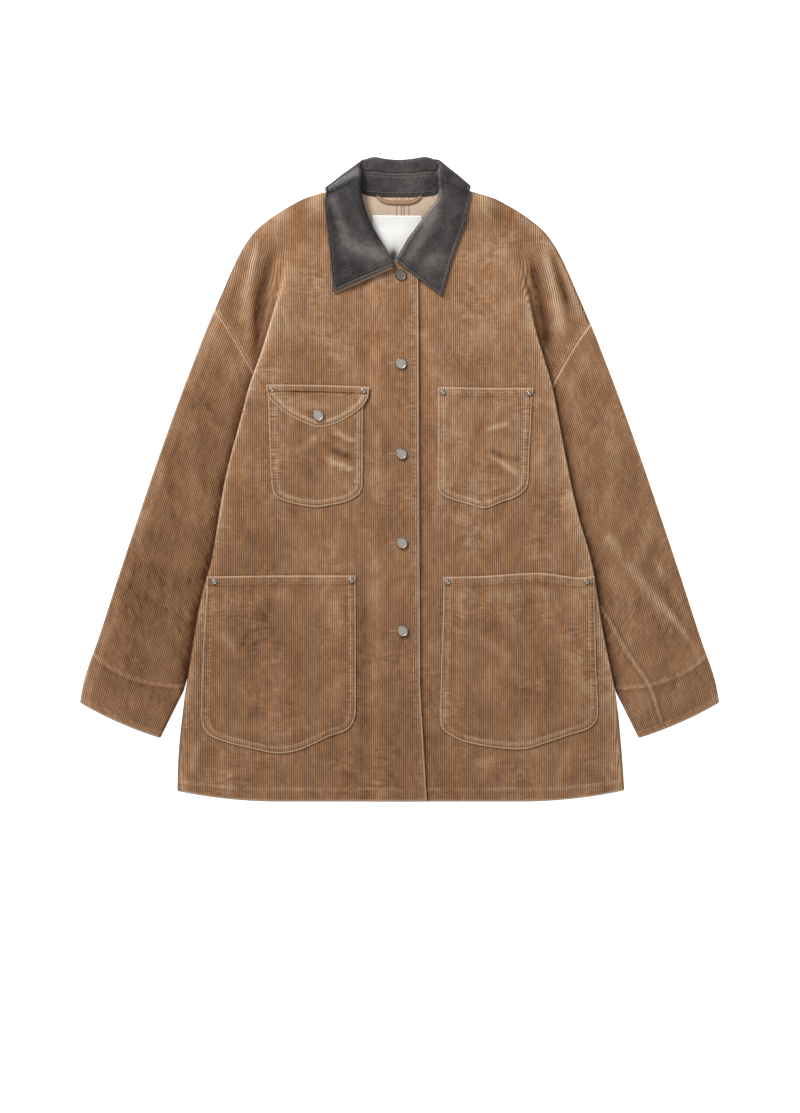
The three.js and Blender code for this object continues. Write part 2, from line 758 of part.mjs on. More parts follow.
function mergedLathe(geometry, x, y, z) {
  const placed = mergeVertices(stripped(geometry));
  placed.translate(x, y, z);
  return placed;
}

function stripped(geometry) {
  geometry.deleteAttribute('normal');
  geometry.deleteAttribute('uv');
  return geometry;
}

function buttonShape() {
  const { radius, height, rim } = buttonSize;
  const inner = radius - rim;
  return turned([
    [0, 0],
    [radius * 0.9, 0],
    [radius, height * 0.45],
    [radius * 0.96, height],
    [inner, height * 0.96],
    [inner * 0.93, height * 0.72],
    [0, height * 0.86],
  ], 13);
}

function rivetShape() {
  const { radius, height } = rivetSize;
  return turned([
    [0, 0],
    [radius, 0],
    [radius * 0.92, height * 0.8],
    [radius * 0.62, height],
    [radius * 0.4, height * 0.5],
    [0, height * 0.45],
  ], 9);
}

const standHeights = {
  panel: cloth / 2,
  chest_pocket_left: onPanel + pocketCloth / 2 + pocketHem,
  lower_pocket_right: onPanel + pocketCloth / 2 + pocketHem,
  lower_pocket_left: onPanel + pocketCloth / 2 + pocketHem,
  flap: onPocket + pocketCloth / 2,
};

// The highest cloth under a round piece, so that its flat underside is clear all round
function seatHeight(half, x, y, radius, on) {
  let highest = -Infinity;
  for (let k = 0; k < 8; k += 1) {
    const angle = (Math.PI * k) / 4;
    const at = frontHeight(half, x + radius * Math.cos(angle), y + radius * Math.sin(angle));
    highest = Math.max(highest, at);
  }
  return highest + standHeights[on] + restGap;
}

frontButtons.forEach(({ x, y }, index) => {
  const z = seatHeight(halves.right, x, y, buttonSize.radius, 'panel');
  addPiece(`button_${index + 1}`, mergedLathe(buttonShape(), x, y, z), 'metal');
});

const flapSeat = seatHeight(halves.right, flapButton.x, flapButton.y, buttonSize.radius, 'flap');
addPiece('button_flap', mergedLathe(buttonShape(), flapButton.x, flapButton.y, flapSeat), 'metal');

rivets.forEach(({ x, y, on }, index) => {
  const half = x < 0 ? halves.right : halves.left;
  const z = seatHeight(half, x, y, rivetSize.radius, on);
  addPiece(`rivet_${index + 1}`, mergedLathe(rivetShape(), x, y, z), 'darkMetal');
});

// Inside the back neck: the blank label and the hanger loop
function onBack(x, y, standoff) {
  return vector(x, y, cloth + neckLift(x, y) + standoff);
}

function labelGrid() {
  const grid = [];
  for (let i = 0; i <= label.rows; i += 1) {
    const row = [];
    for (let j = 0; j <= label.columns; j += 1) {
      const x = label.x1 + (label.x2 - label.x1) * (j / label.columns);
      const y = label.topY + (label.lowY - label.topY) * (i / label.rows);
      row.push(onBack(x, y, restGap + label.thickness / 2));
    }
    grid.push(row);
  }
  return grid;
}

function loopGrid() {
  const grid = [];
  for (let i = 0; i <= loop.steps; i += 1) {
    const share = i / loop.steps;
    const x = loop.x1 + (loop.x2 - loop.x1) * share;
    const dip = Math.sin(Math.PI * share) ** 0.5;
    const y = loop.topY + (loop.dipY - loop.topY) * dip;
    const z = restGap + loop.thickness / 2;
    grid.push([onBack(x, y, z), onBack(x, y - loop.width / 2, z), onBack(x, y - loop.width, z)]);
  }
  return grid;
}

addPiece('neck_label', wallGeometry(labelGrid(), label.thickness), 'label');
addPiece('hanger_loop', wallGeometry(loopGrid(), loop.thickness), 'inside');

// The collar goes round the neck through stations. At each one the stand rises from the neck seam,
// the fall turns over at the roll line and reaches its outer edge. The turn is 90 degrees where the
// fall lies on the fronts and -90 where it lies under the back; between them it wraps the shoulder.
const stand = { share: 0.66, steps: 2, seam: 0.8 };
const fall = { rollSteps: 4, leafSteps: 4, roll: 3.1, leafBend: 1.25 };
const bodyMid = 6.6;
const wrapReach = 5.9;
const wrapSeam = { under: 0.3, over: 4.1 };
const wrapCrest = { under: 2.4, over: 7 };
const wrapTurns = [90, 45, 0, -45, -90];

const collarPlan = {
  right: {
    sign: -1,
    front: [
      { neckX: 12, neckY: 263.5, rollX: 6, rollY: 266.5, edgeX: 82.5, edgeY: 233.5, crest: 6.3, seat: 0.5 },
      { neckX: 33, neckY: 287, rollX: 21, rollY: 291.5, edgeX: 85.8, edgeY: 268, crest: 6.8, seat: 2 },
      { neckX: 48.5, neckY: 306.5, rollX: 32, rollY: 310.5, edgeX: 88.6, edgeY: 297, crest: 6.6 },
      { neckX: 59.5, neckY: 328, rollX: 41.5, rollY: 331, edgeX: 91.6, edgeY: 322, crest: 7 },
      { neckX: 62.5, neckY: 350, rollX: 47, rollY: 352, edgeX: 93.5, edgeY: 346, crest: 7.8, seat: 1.1 },
      { neckX: 60, neckY: 362.5, rollX: 48.5, rollY: 372, edgeX: 92.4, edgeY: 353.5, crest: 7.5, seat: 4.4 },
    ],
    wrap: { neckX: 56.2, neckY: 371, rollX: 45, rollY: 392.9, edgeX: 88, edgeY: 358.8 },
    back: [
      { neckX: 46, neckY: 357.5, rollX: 40, rollY: 399.8, edgeX: 74, edgeY: 352, crest: 2.4 },
      { neckX: 34, neckY: 354, rollX: 32, rollY: 401.8, edgeX: 48, edgeY: 347, crest: 2.4 },
      { neckX: 17, neckY: 353, rollX: 17, rollY: 399.4, edgeX: 23, edgeY: 346, crest: 2.4 },
    ],
  },
  left: {
    sign: 1,
    front: [
      { neckX: 2, neckY: 268, rollX: -4.5, rollY: 272.5, edgeX: 52, edgeY: 229, crest: 5.6 },
      { neckX: 30, neckY: 289.5, rollX: 9, rollY: 296, edgeX: 66, edgeY: 278, crest: 6.2 },
      { neckX: 49.5, neckY: 311.5, rollX: 23, rollY: 315, edgeX: 77, edgeY: 308, crest: 6.6 },
      { neckX: 61, neckY: 335, rollX: 38, rollY: 336.5, edgeX: 84, edgeY: 334, crest: 7 },
      { neckX: 63.5, neckY: 349.5, rollX: 48, rollY: 350, edgeX: 87.3, edgeY: 349, crest: 7.8, seat: 1 },
      { neckX: 60, neckY: 363, rollX: 48.8, rollY: 371, edgeX: 88, edgeY: 356.5, crest: 7.5, seat: 4.4 },
    ],
    wrap: { neckX: 56.7, neckY: 371, rollX: 46.6, rollY: 392.3, edgeX: 84.5, edgeY: 361.3 },
    back: [
      { neckX: 46, neckY: 357.5, rollX: 42, rollY: 399.4, edgeX: 72, edgeY: 352, crest: 2.4 },
      { neckX: 34, neckY: 354, rollX: 33, rollY: 401.8, edgeX: 48, edgeY: 347, crest: 2.4 },
      { neckX: 17, neckY: 353, rollX: 17, rollY: 399.4, edgeX: 23, edgeY: 346, crest: 2.4 },
    ],
  },
};
const backMiddle = { neckX: 0, neckY: 353, rollX: 0, rollY: 398.4, edgeX: 0, edgeY: 346, crest: 2.4 };

function clearTop(sign, x, y) {
  const right = frontHeight(halves.right, x, y);
  const left = frontHeight(halves.left, x, y);
  const under = x < halves.left.neckOut(y) ? 0 : left;
  const over = x > -halves.right.neckOut(y) ? 0 : right;
  return Math.max(under, over, backMid + neckLift(x, y)) + cloth / 2;
}

// Every station as points: the seam, the roll's middle and the edge, each with the way out of the body
function readyStation(sign, row, turn) {
  const angle = THREE.MathUtils.degToRad(turn);
  const seam = vector(sign * row.neckX, row.neckY, bodyMid);
  const roll = vector(sign * row.rollX, row.rollY, bodyMid);
  const edge = vector(sign * row.edgeX, row.edgeY, bodyMid);
  const inward = roll.clone().sub(edge).normalize();
  const sideways = vector(-inward.y * -sign, inward.x * -sign, 0).multiplyScalar(Math.cos(angle));
  const outward = sideways.addScaledVector(vector(0, 0, 1), Math.sin(angle));
  const stack = restGap + underCloth + seamGap + leather / 2;
  const share = (turn + 90) / 180;
  const crest = row.crest ?? THREE.MathUtils.lerp(wrapCrest.under, wrapCrest.over, share);
  let seamUp = THREE.MathUtils.lerp(wrapSeam.under, wrapSeam.over, share);
  let edgeUp = wrapReach;
  if (turn === 90 && row.crest) {
    seamUp = clearTop(sign, seam.x, seam.y) + restGap + leather / 2 - bodyMid + (row.seat ?? 0);
    edgeUp = clearTop(sign, edge.x, edge.y) + stack - bodyMid;
  }
  return { seam, roll, edge, inward, outward, seamUp, edgeUp, crest };
}

function collarHalf(plan) {
  const front = plan.front.map((row) => readyStation(plan.sign, row, 90));
  const wrap = wrapTurns.map((turn) => readyStation(plan.sign, plan.wrap, turn));
  const back = plan.back.map((row) => readyStation(plan.sign, row, -90));
  return [...front, ...wrap, ...back];
}

const collarStations = [
  ...collarHalf(collarPlan.right),
  readyStation(1, backMiddle, -90),
  ...collarHalf(collarPlan.left).reverse(),
];

// One station's line from the neck seam over the roll to the outer edge
function stationLine(station) {
  const { seam, roll, edge, inward, outward, seamUp, edgeUp, crest } = station;
  const radius = fall.roll;
  const middle = roll.clone().addScaledVector(inward, -radius).addScaledVector(outward, crest);
  const top = middle.clone().addScaledVector(outward, -radius);
  const start = seam.clone().addScaledVector(outward, seamUp);
  const standTop = start.clone().lerp(top, stand.share);
  const standPoints = [];
  for (let j = 0; j <= stand.steps; j += 1) {
    standPoints.push(start.clone().lerp(standTop, j / stand.steps));
  }
  const fallStart = standTop.clone().lerp(top, stand.seam / standTop.distanceTo(top));
  const fallPoints = [fallStart, top];
  for (let j = 1; j <= fall.rollSteps; j += 1) {
    const angle = -Math.PI / 2 + (Math.PI * j) / fall.rollSteps;
    const point = middle.clone().addScaledVector(inward, radius * Math.cos(angle));
    fallPoints.push(point.addScaledVector(outward, radius * Math.sin(angle)));
  }
  const leafStart = fallPoints[fallPoints.length - 1];
  const leafEnd = edge.clone().addScaledVector(outward, edgeUp);
  const underPoints = [];
  for (let j = 1; j <= fall.leafSteps; j += 1) {
    const share = j / fall.leafSteps;
    const point = leafStart.clone().lerp(leafEnd, share);
    const startUp = leafStart.clone().sub(edge).dot(outward);
    const height = edgeUp + (startUp - edgeUp) * (1 - share) ** fall.leafBend;
    point.addScaledVector(outward, height - point.clone().sub(edge).dot(outward));
    fallPoints.push(point);
    underPoints.push(point.clone().addScaledVector(outward, -(leather + underCloth) / 2 - seamGap));
  }
  return { standPoints, fallPoints, underPoints };
}

const collarLines = collarStations.map(stationLine);
addPiece('collar_stand', wallGeometry(collarLines.map((line) => line.standPoints), leather), 'leather');
addPiece('collar_fall', wallGeometry(collarLines.map((line) => line.fallPoints), leather), 'leather');
addPiece('under_collar', wallGeometry(collarLines.map((line) => line.underPoints), underCloth), 'corduroy');

export default jacket;
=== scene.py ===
import json
import math
import bpy
import numpy as np
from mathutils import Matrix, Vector
from mathutils.bvhtree import BVHTree

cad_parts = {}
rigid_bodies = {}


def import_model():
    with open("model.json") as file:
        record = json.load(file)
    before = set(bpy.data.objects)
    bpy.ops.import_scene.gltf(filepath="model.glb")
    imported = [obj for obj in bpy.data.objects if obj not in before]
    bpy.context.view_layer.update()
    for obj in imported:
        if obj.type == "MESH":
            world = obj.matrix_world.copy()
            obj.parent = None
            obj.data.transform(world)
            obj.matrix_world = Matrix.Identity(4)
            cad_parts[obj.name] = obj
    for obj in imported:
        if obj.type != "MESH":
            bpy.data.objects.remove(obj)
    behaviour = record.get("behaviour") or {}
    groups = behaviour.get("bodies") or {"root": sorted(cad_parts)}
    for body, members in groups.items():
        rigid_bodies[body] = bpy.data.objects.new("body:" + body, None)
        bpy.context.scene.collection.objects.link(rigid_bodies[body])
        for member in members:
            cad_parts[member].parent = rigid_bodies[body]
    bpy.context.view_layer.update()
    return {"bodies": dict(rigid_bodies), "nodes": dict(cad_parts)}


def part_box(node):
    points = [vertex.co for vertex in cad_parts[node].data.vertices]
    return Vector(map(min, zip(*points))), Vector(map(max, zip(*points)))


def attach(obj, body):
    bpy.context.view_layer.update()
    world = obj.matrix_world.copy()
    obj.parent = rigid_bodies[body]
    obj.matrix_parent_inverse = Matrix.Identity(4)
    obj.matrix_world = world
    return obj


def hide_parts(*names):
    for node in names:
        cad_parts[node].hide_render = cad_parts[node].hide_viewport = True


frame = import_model()
body = list(frame["bodies"])[0]
print("frame loaded:", len(frame["nodes"]), "nodes on body", body)

# Lengths are millimetres until a mesh is made. "out" is the distance from the middle towards a sleeve.
mm = 0.001
# far enough for a sewn row or a worn edge not to count
nowhere = 99.0


# short tables, soft steps and curves through them
def table(columns, rows):
    names = columns.split()
    return [dict(zip(names, row)) for row in rows]


def softStep(value, low, high):
    t = np.clip((value - low) / (high - low), 0, 1)
    return t * t * (3 - 2 * t)


def hill(value, middle, width):
    return np.exp(-((value - middle) / width) ** 2)


def banded(tone, *bands):
    # light and dark bands: the value they follow, its middle, width, amount and where the band counts
    for value, middle, width, amount, *where in bands:
        band = amount * hill(value, middle, width)
        tone = tone + (band * where[0] if where else band)
    return tone


def sortedPoints(rows, by, key):
    points = sorted((row[by], row[key]) for row in rows)
    return np.array([p[0] for p in points], float), np.array([p[1] for p in points], float)


def straightThrough(rows, by, key):
    at, value = sortedPoints(rows, by, key)
    return lambda here: np.interp(here, at, value)


def hermite(t, span, value, slope, i):
    # the soft curve from place i to the one after it
    early = (1 + 2 * t) * (1 - t) ** 2 * value[i] + t * (1 - t) ** 2 * span * slope[i]
    late = t * t * (3 - 2 * t) * value[i + 1] - t * t * (1 - t) * span * slope[i + 1]
    return early + late


def softThrough(rows, by, key):
    at, value = sortedPoints(rows, by, key)
    before = np.maximum(np.arange(len(at)) - 1, 0)
    after = np.minimum(np.arange(len(at)) + 1, len(at) - 1)
    slope = (value[after] - value[before]) / (at[after] - at[before])

    def read(here):
        i = np.clip(np.searchsorted(at, here, side="left") - 1, 0, len(at) - 2)
        span = at[i + 1] - at[i]
        return hermite(np.clip((here - at[i]) / span, 0, 1), span, value, slope, i)
    return read


def softWaves(x, y, seed, wave, height):
    # gentle unevenness: a few crossing waves, the same on every run
    dice = np.random.default_rng(seed)
    total = np.zeros(np.broadcast(x, y).shape)
    for _ in range(9):
        angle, shift = dice.uniform(0, 2 * math.pi, 2)
        size = wave * dice.uniform(0.6, 1.7)
        total = total + np.sin((x * math.cos(angle) + y * math.sin(angle)) / size * 2 * math.pi + shift)
    return height * total / 3


def nearLine(line, x, y):
    # distance to a line of points, and how far along it the nearest place lies
    x, y = np.asarray(x, float), np.asarray(y, float)
    best = np.full(x.shape, 1e9)
    run = np.zeros(x.shape)
    walked = 0.0
    for a, b in zip(line[:-1], line[1:]):
        dx, dy = b[0] - a[0], b[1] - a[1]
        length = math.hypot(dx, dy)
        if length < 1e-6:
            continue
        t = np.clip(((x - a[0]) * dx + (y - a[1]) * dy) / length ** 2, 0, 1)
        away = np.hypot(x - a[0] - dx * t, y - a[1] - dy * t)
        closer = away < best
        best = np.where(closer, away, best)
        run = np.where(closer, walked + t * length, run)
        walked += length
    return best, run


# the jacket's own sizes
cloth = {"thick": 1.8, "leather": 1.4, "underCloth": 1.2, "pocketCloth": 1.5, "airGap": 2.6, "restGap": 0.4,
         "seamGap": 0.3, "endGap": 0.9}
thick = cloth["thick"]
frontMid = thick * 1.5 + cloth["airGap"]
backMid = thick / 2
hemY = -402.5
seamX = 4

fold = {"outer": 5.0, "inner": 4.4, "rampRun": 90, "edgeRoll": 3.2, "sideRise": 3, "sideShare": 0.66,
        "settleLow": -326, "settleHigh": -262, "leastTuck": 0.6}
neckRise = {"height": 3.5, "lowY": 312, "highY": 343, "outX": 128, "inX": 100}
underarm = {"reach": 3, "short": 1.2, "above": 14, "below": 12, "fade": 90}
lap = {"rise": 2.4, "startX": -48, "endX": -26, "lowY": -294, "highY": -275}
hem = {"startY": -330, "rise": 13.7, "fromOut": 150, "toOut": 278}

shoulderLine = table("y out", [
    (376, 66), (365.5, 79), (359, 88), (354.5, 104), (349, 121.5), (330, 154.4), (311, 178.7), (292, 193.2),
    (274, 203.1), (255, 211.9), (236, 220), (212, 230.4), (180, 243.8), (142, 258.8), (105, 273.1), (30, 300),
    (-45, 325.6), (-120, 350.6), (-195, 375), (-250, 393.5), (-279, 399.3)])

halves = {
    "right": {
        "sign": -1, "wingShade": -0.44,
        "armhole": {"topY": 212, "lowY": 86, "lowOut": 159, "bow": -4},
        "neckline": table("y out", [
            (376, 60), (350, 61), (332, 58), (314, 50.5), (298, 41), (284, 26), (274, 11), (268, -1),
            (262, -22.7), (160, -23.4), (-260, -25.2), (-402.5, -33.6)]),
        "side": table("y fold turn", [
            (376, 63, 0), (348, 88, 0), (314, 128, 0), (298, 138, 0), (240, 149, 62), (190, 163, 135),
            (160, 172, 180), (118, 187, 180), (80, 197, 180), (0, 217.5, 180), (-100, 234.5, 180),
            (-150, 248, 180), (-264, 267, 180), (-290, 270.5, 90), (-340, 275.5, 90), (-402.5, 277.5, 90)]),
    },
    "left": {
        "sign": 1, "wingShade": -0.36,
        "armhole": {"topY": 194, "lowY": 72, "lowOut": 172, "bow": -6},
        "neckline": table("y out", [
            (376, 60), (350, 62), (332, 59), (314, 48), (298, 35), (284, 20), (274, 6), (268, -6), (262, -18),
            (-402.5, -16)]),
        "side": table("y fold turn", [
            (376, 63, 0), (348, 88, 0), (314, 128, 0), (298, 142, 0), (240, 159.5, 55), (190, 169, 120),
            (155, 179, 180), (118, 190, 180), (80, 197.5, 180), (0, 213, 180), (-50, 224.5, 180),
            (-100, 239, 180), (-190, 254, 180), (-264, 269, 180), (-290, 272.5, 90), (-340, 277, 90),
            (-402.5, 280.5, 90)]),
    },
}
sleeveInner = {"leaveY": -264, "leaveOut": 269.5, "cuffY": -322.5, "cuffOut": 298.5}
cuff = {"outerY": -279, "bow": 3, "rowInner": 0.845, "rowOuter": 0.878, "rowBow": 0.0225, "hemRelief": 0.45}
crown = {"height": 1.2, "inRun": 34, "outRun": 30}

# Creases of the laid cloth: ridges, and troughs where the height is below 0
creaseColumns = "x1 y1 x2 y2 height width bow"
bodyCreases = table(creaseColumns, [
    (-176, 302, -192.5, 226, 1.3, 2.6, 0),
    (-179, 296, -198, 216, 1.2, 7, 0),
    (-153, 299, -180, 172, -2.4, 8, 5.4),
    (-172, 240, -183, 146, -1.8, 6, 0),
    (177, 297, 205, 172, 2.3, 6, -3),
    (160, 284, 189, 149, -2.5, 6.5, -2.5),
    (187, 291, 213, 204, -1.7, 6, -2),
    (128, 300, 146, 236, 0.9, 8, -2),
    (-60, 232, -46, 180, 0.5, 9, 0),
    (-30, 214, -26, 160, -0.7, 9, 0),
    (30, 200, 44, 120, 0.6, 8, 0),
    (33, 60, 36, -60, -0.8, 9, 0),
    (-36, 90, -24, 60, -0.8, 7, 0),
    (-32, 56, -22, 20, 0.7, 6, 0),
    (-120, 215, -70, 150, 0.9, 16, 0),
    (120, 225, 84, 140, 0.9, 16, 0),
    (-190, 60, -120, -95, 1.2, 16, 6),
    (-215, 10, -175, -95, -0.8, 12, 4),
    (185, 55, 110, -90, 1.2, 16, -6),
    (205, 0, 165, -100, -0.8, 12, -4),
    (-50, 10, -42, -100, 0.8, 12, 0),
    (-70, -345, -40, -390, 0.8, 12, 0),
    (100, -345, 120, -392, 0.9, 14, 0),
    (-254, -327, -259, -376, 0.8, 5, 0),
    (-222, -345, -210, -398, 0.7, 9, 0),
    (210, -338, 198, -398, 0.7, 9, 0),
])
sleeveCreases = table(creaseColumns, [
    (-262, 95, -252, -40, 1.2, 12, 4),
    (-322, -40, -306, -110, 0.5, 11, 4),
    (-290, 40, -282, -60, -0.8, 10, 0),
    (-345, -120, -332, -190, -0.3, 9, 0),
    (266, 100, 262, -60, 1.2, 12, -4),
    (318, -30, 288, -120, 1.2, 11, -4),
    (288, -105, 352, -200, 1.3, 11, 0),
    (324, -152, 374, -216, 0.9, 4, 0),
    (292, 50, 300, -40, -0.8, 10, 0),
])
pocketCreases = table(creaseColumns, [
    (-85, 60, -53, 45, 1.2, 3.4, 0),
    (-93, 25, -54, 8.8, 1.2, 3.6, 0),
    (-90, 38, -54, 24, -1.1, 4.5, 0),
    (-128, 34, -100, 52, 0.6, 6, 0),
    (108, 61, 139, 69, 1.0, 3.4, 0),
    (112, 34.4, 133, 25.5, -0.8, 4.4, 0),
    (133, 25.5, 151, 24, -0.7, 4, 0),
    (112, 31, 152, 2.5, 1.0, 3.4, 0),
    (-225, -190, -190, -230, 0.7, 9, 0),
    (100, -190, 150, -230, 0.7, 10, 4),
    (120, -230, 190, -262, 0.7, 9, 4),
])


def creaseHeight(rows, x, y):
    height = np.zeros(np.broadcast(x, y).shape)
    for row in rows:
        runX, runY = row["x2"] - row["x1"], row["y2"] - row["y1"]
        length, width = math.hypot(runX, runY), row["width"]
        along = ((x - row["x1"]) * runX + (y - row["y1"]) * runY) / length
        share = np.clip(along / length, 0, 1)
        bow = row["bow"] * 4 * share * (1 - share)
        aside = ((x - row["x1"]) * runY - (y - row["y1"]) * runX) / length - bow
        fade = softStep(along, -width, length * 0.3) * (1 - softStep(along, length * 0.7, length + width))
        height = height + row["height"] * fade * hill(aside, 0, width)
    return height


def neckLift(x, y):
    lift = neckRise["height"] * softStep(y, neckRise["lowY"], neckRise["highY"])
    return lift * (1 - softStep(np.abs(x), neckRise["inX"], neckRise["outX"]))


outlineOut = softThrough(shoulderLine, "y", "out")
panelWaves = {"seed": 4, "wave": 46, "height": 0.2}


def panelBase(x, y):
    waves = softWaves(x, y, panelWaves["seed"], panelWaves["wave"], panelWaves["height"])
    return frontMid + neckLift(x, y) + creaseHeight(bodyCreases, x, y) + waves


def turnDrop(angle):
    safe = np.maximum(angle, 0.01)
    return np.where(angle < 0.01, 0, (fold["outer"] + fold["inner"]) * (1 - np.cos(safe)) / safe)


def prepare(half):
    arm, sign = half["armhole"], half["sign"]
    foldOut = softThrough(half["side"], "y", "fold")
    turnDegrees = straightThrough(half["side"], "y", "turn")
    neckOut = straightThrough(half["neckline"], "y", "out")
    fullAt = max(row["y"] for row in half["side"] if row["turn"] == 180)

    def turn(y):
        return np.radians(turnDegrees(y))

    def seamOut(y):
        t = (arm["topY"] - y) / (arm["topY"] - arm["lowY"])
        topOut = outlineOut(arm["topY"]) - thick / 2
        return topOut + (arm["lowOut"] - topOut) * t + arm["bow"] * 4 * t * (1 - t)

    def innerOut(y):
        leaveY, leaveOut = sleeveInner["leaveY"], sleeveInner["leaveOut"]
        slope = (leaveOut - arm["lowOut"]) / (arm["lowY"] - leaveY)
        low = (sleeveInner["cuffOut"] - leaveOut) / (leaveY - sleeveInner["cuffY"])
        return np.where(y > leaveY, arm["lowOut"] + slope * (arm["lowY"] - y), leaveOut + low * (leaveY - y))

    def atArmhole(y):
        return (y <= arm["topY"]) & (y >= arm["lowY"])

    def wingEnd(y):
        near = 1 - softStep(y, arm["lowY"], arm["lowY"] + underarm["above"])
        return np.where(atArmhole(y), seamOut(y) - underarm["short"] * near, outlineOut(y) - thick / 2)

    def settle(y):
        return np.where(y < 0, softStep(y, fold["settleLow"], fold["settleHigh"]), 1.0)

    def foldStart(y):
        turned = turn(y)
        reach = fold["outer"] / np.maximum(turned, 0.4)
        bulge = np.where(turned >= math.pi / 2, reach, reach * np.sin(turned))
        size = fold["sideShare"] + (1 - fold["sideShare"]) * settle(y)
        return foldOut(y) - thick / 2 - np.where(turned > 0.01, bulge * size, fold["outer"])

    def tuck(y):
        nearArm = softStep(y, arm["lowY"] - underarm["fade"], arm["lowY"] - underarm["below"])
        reach = foldStart(y) - innerOut(np.minimum(y, arm["lowY"])) + underarm["reach"] * nearArm
        grown = softStep(fullAt - y, 0, fullAt - arm["lowY"])
        closed = (y > fullAt) | (turn(y) < math.pi - 0.01)
        return np.where(closed, fold["leastTuck"], np.maximum(fold["leastTuck"], reach * grown))

    def edgeHeight(out, y, top):
        slope = (outlineOut(y - 4) - outlineOut(y + 4)) / 8
        inside = (outlineOut(y) - thick / 2 - out) / np.hypot(1, slope)
        share = np.clip(inside / fold["edgeRoll"], 0, 1)
        low = thick + cloth["endGap"] + neckLift(sign * out, y)
        return low + (top - low) * np.sqrt(np.maximum(0, 1 - (1 - share) ** 2))

    def wingHeight(out, y):
        return edgeHeight(out, y, panelBase(sign * out, y))

    def panelHeight(out, y):
        x = sign * out
        raisedAt = foldStart(y) + 6 - tuck(y) * 0.8
        ramp = softStep(out, raisedAt - fold["rampRun"], raisedAt)
        lapping = softStep(x, lap["startX"], lap["endX"]) * softStep(-y, lap["lowY"], lap["highY"])
        top = panelBase(x, y) + (lap["rise"] * lapping if sign < 0 else 0)
        overSleeve = np.where(y < 0, turnDrop(math.pi), turnDrop(turn(y)))
        raised = top + (fold["sideRise"] + (overSleeve - fold["sideRise"]) * settle(y)) * ramp
        return np.where(y > arm["topY"], edgeHeight(out, y, raised), raised)

    half.update(foldOut=foldOut, turn=turn, neckOut=neckOut, seamOut=seamOut, innerOut=innerOut, tuck=tuck,
                atArmhole=atArmhole, wingEnd=wingEnd, settle=settle, foldStart=foldStart,
                wingHeight=wingHeight, panelHeight=panelHeight)


for half in halves.values():
    prepare(half)


def hemLift(out, y):
    share = np.clip((hem["startY"] - y) / (hem["startY"] - hemY), 0, 1)
    aside = np.maximum(0, out - hem["fromOut"]) / (hem["toOut"] - hem["fromOut"])
    return share * hem["rise"] * aside ** 2


# meshes of cloth: a grid on the middle of the cloth, thickened, with a rounded rim
def gridNormals(grid, closed):
    down = np.gradient(grid, axis=0)
    if closed:
        along = (np.roll(grid, -1, axis=1) - np.roll(grid, 1, axis=1)) / 2
    else:
        along = np.gradient(grid, axis=1)
    normals = np.cross(along, down)
    return normals / np.maximum(np.linalg.norm(normals, axis=2, keepdims=True), 1e-9)


def arcLength(grid, axis):
    steps = np.linalg.norm(np.diff(grid, axis=axis), axis=2)
    start = np.zeros_like(steps[:1] if axis == 0 else steps[:, :1])
    return np.concatenate([start, np.cumsum(steps, axis=axis)], axis=axis)


def blurred(values, spread):
    reach = np.arange(-2 * spread, 2 * spread + 1)
    weight = np.exp(-(reach / spread) ** 2)
    weight = weight / weight.sum()
    for axis in (0, 1):
        padded = np.pad(values, [(2 * spread,) * 2 if a == axis else (0, 0) for a in (0, 1)], mode="edge")
        values = np.apply_along_axis(lambda row: np.convolve(row, weight, mode="valid"), axis, padded)
    return values


def addMesh(name, points, faces, faceFinish=None, finishes=()):
    mesh = bpy.data.meshes.new(name)
    mesh.from_pydata((np.asarray(points) * mm).tolist(), [], [list(face) for face in faces])
    for finish in finishes:
        mesh.materials.append(finish)
    if faceFinish is not None:
        mesh.polygons.foreach_set("material_index", faceFinish)
    mesh.polygons.foreach_set("use_smooth", [True] * len(mesh.polygons))
    mesh.update()
    made = bpy.data.objects.new(name, mesh)
    bpy.context.scene.collection.objects.link(made)
    return made


def addField(mesh, name, values):
    mesh.attributes.new(name, "FLOAT", "POINT").data.foreach_set("value", np.asarray(values, np.float32))


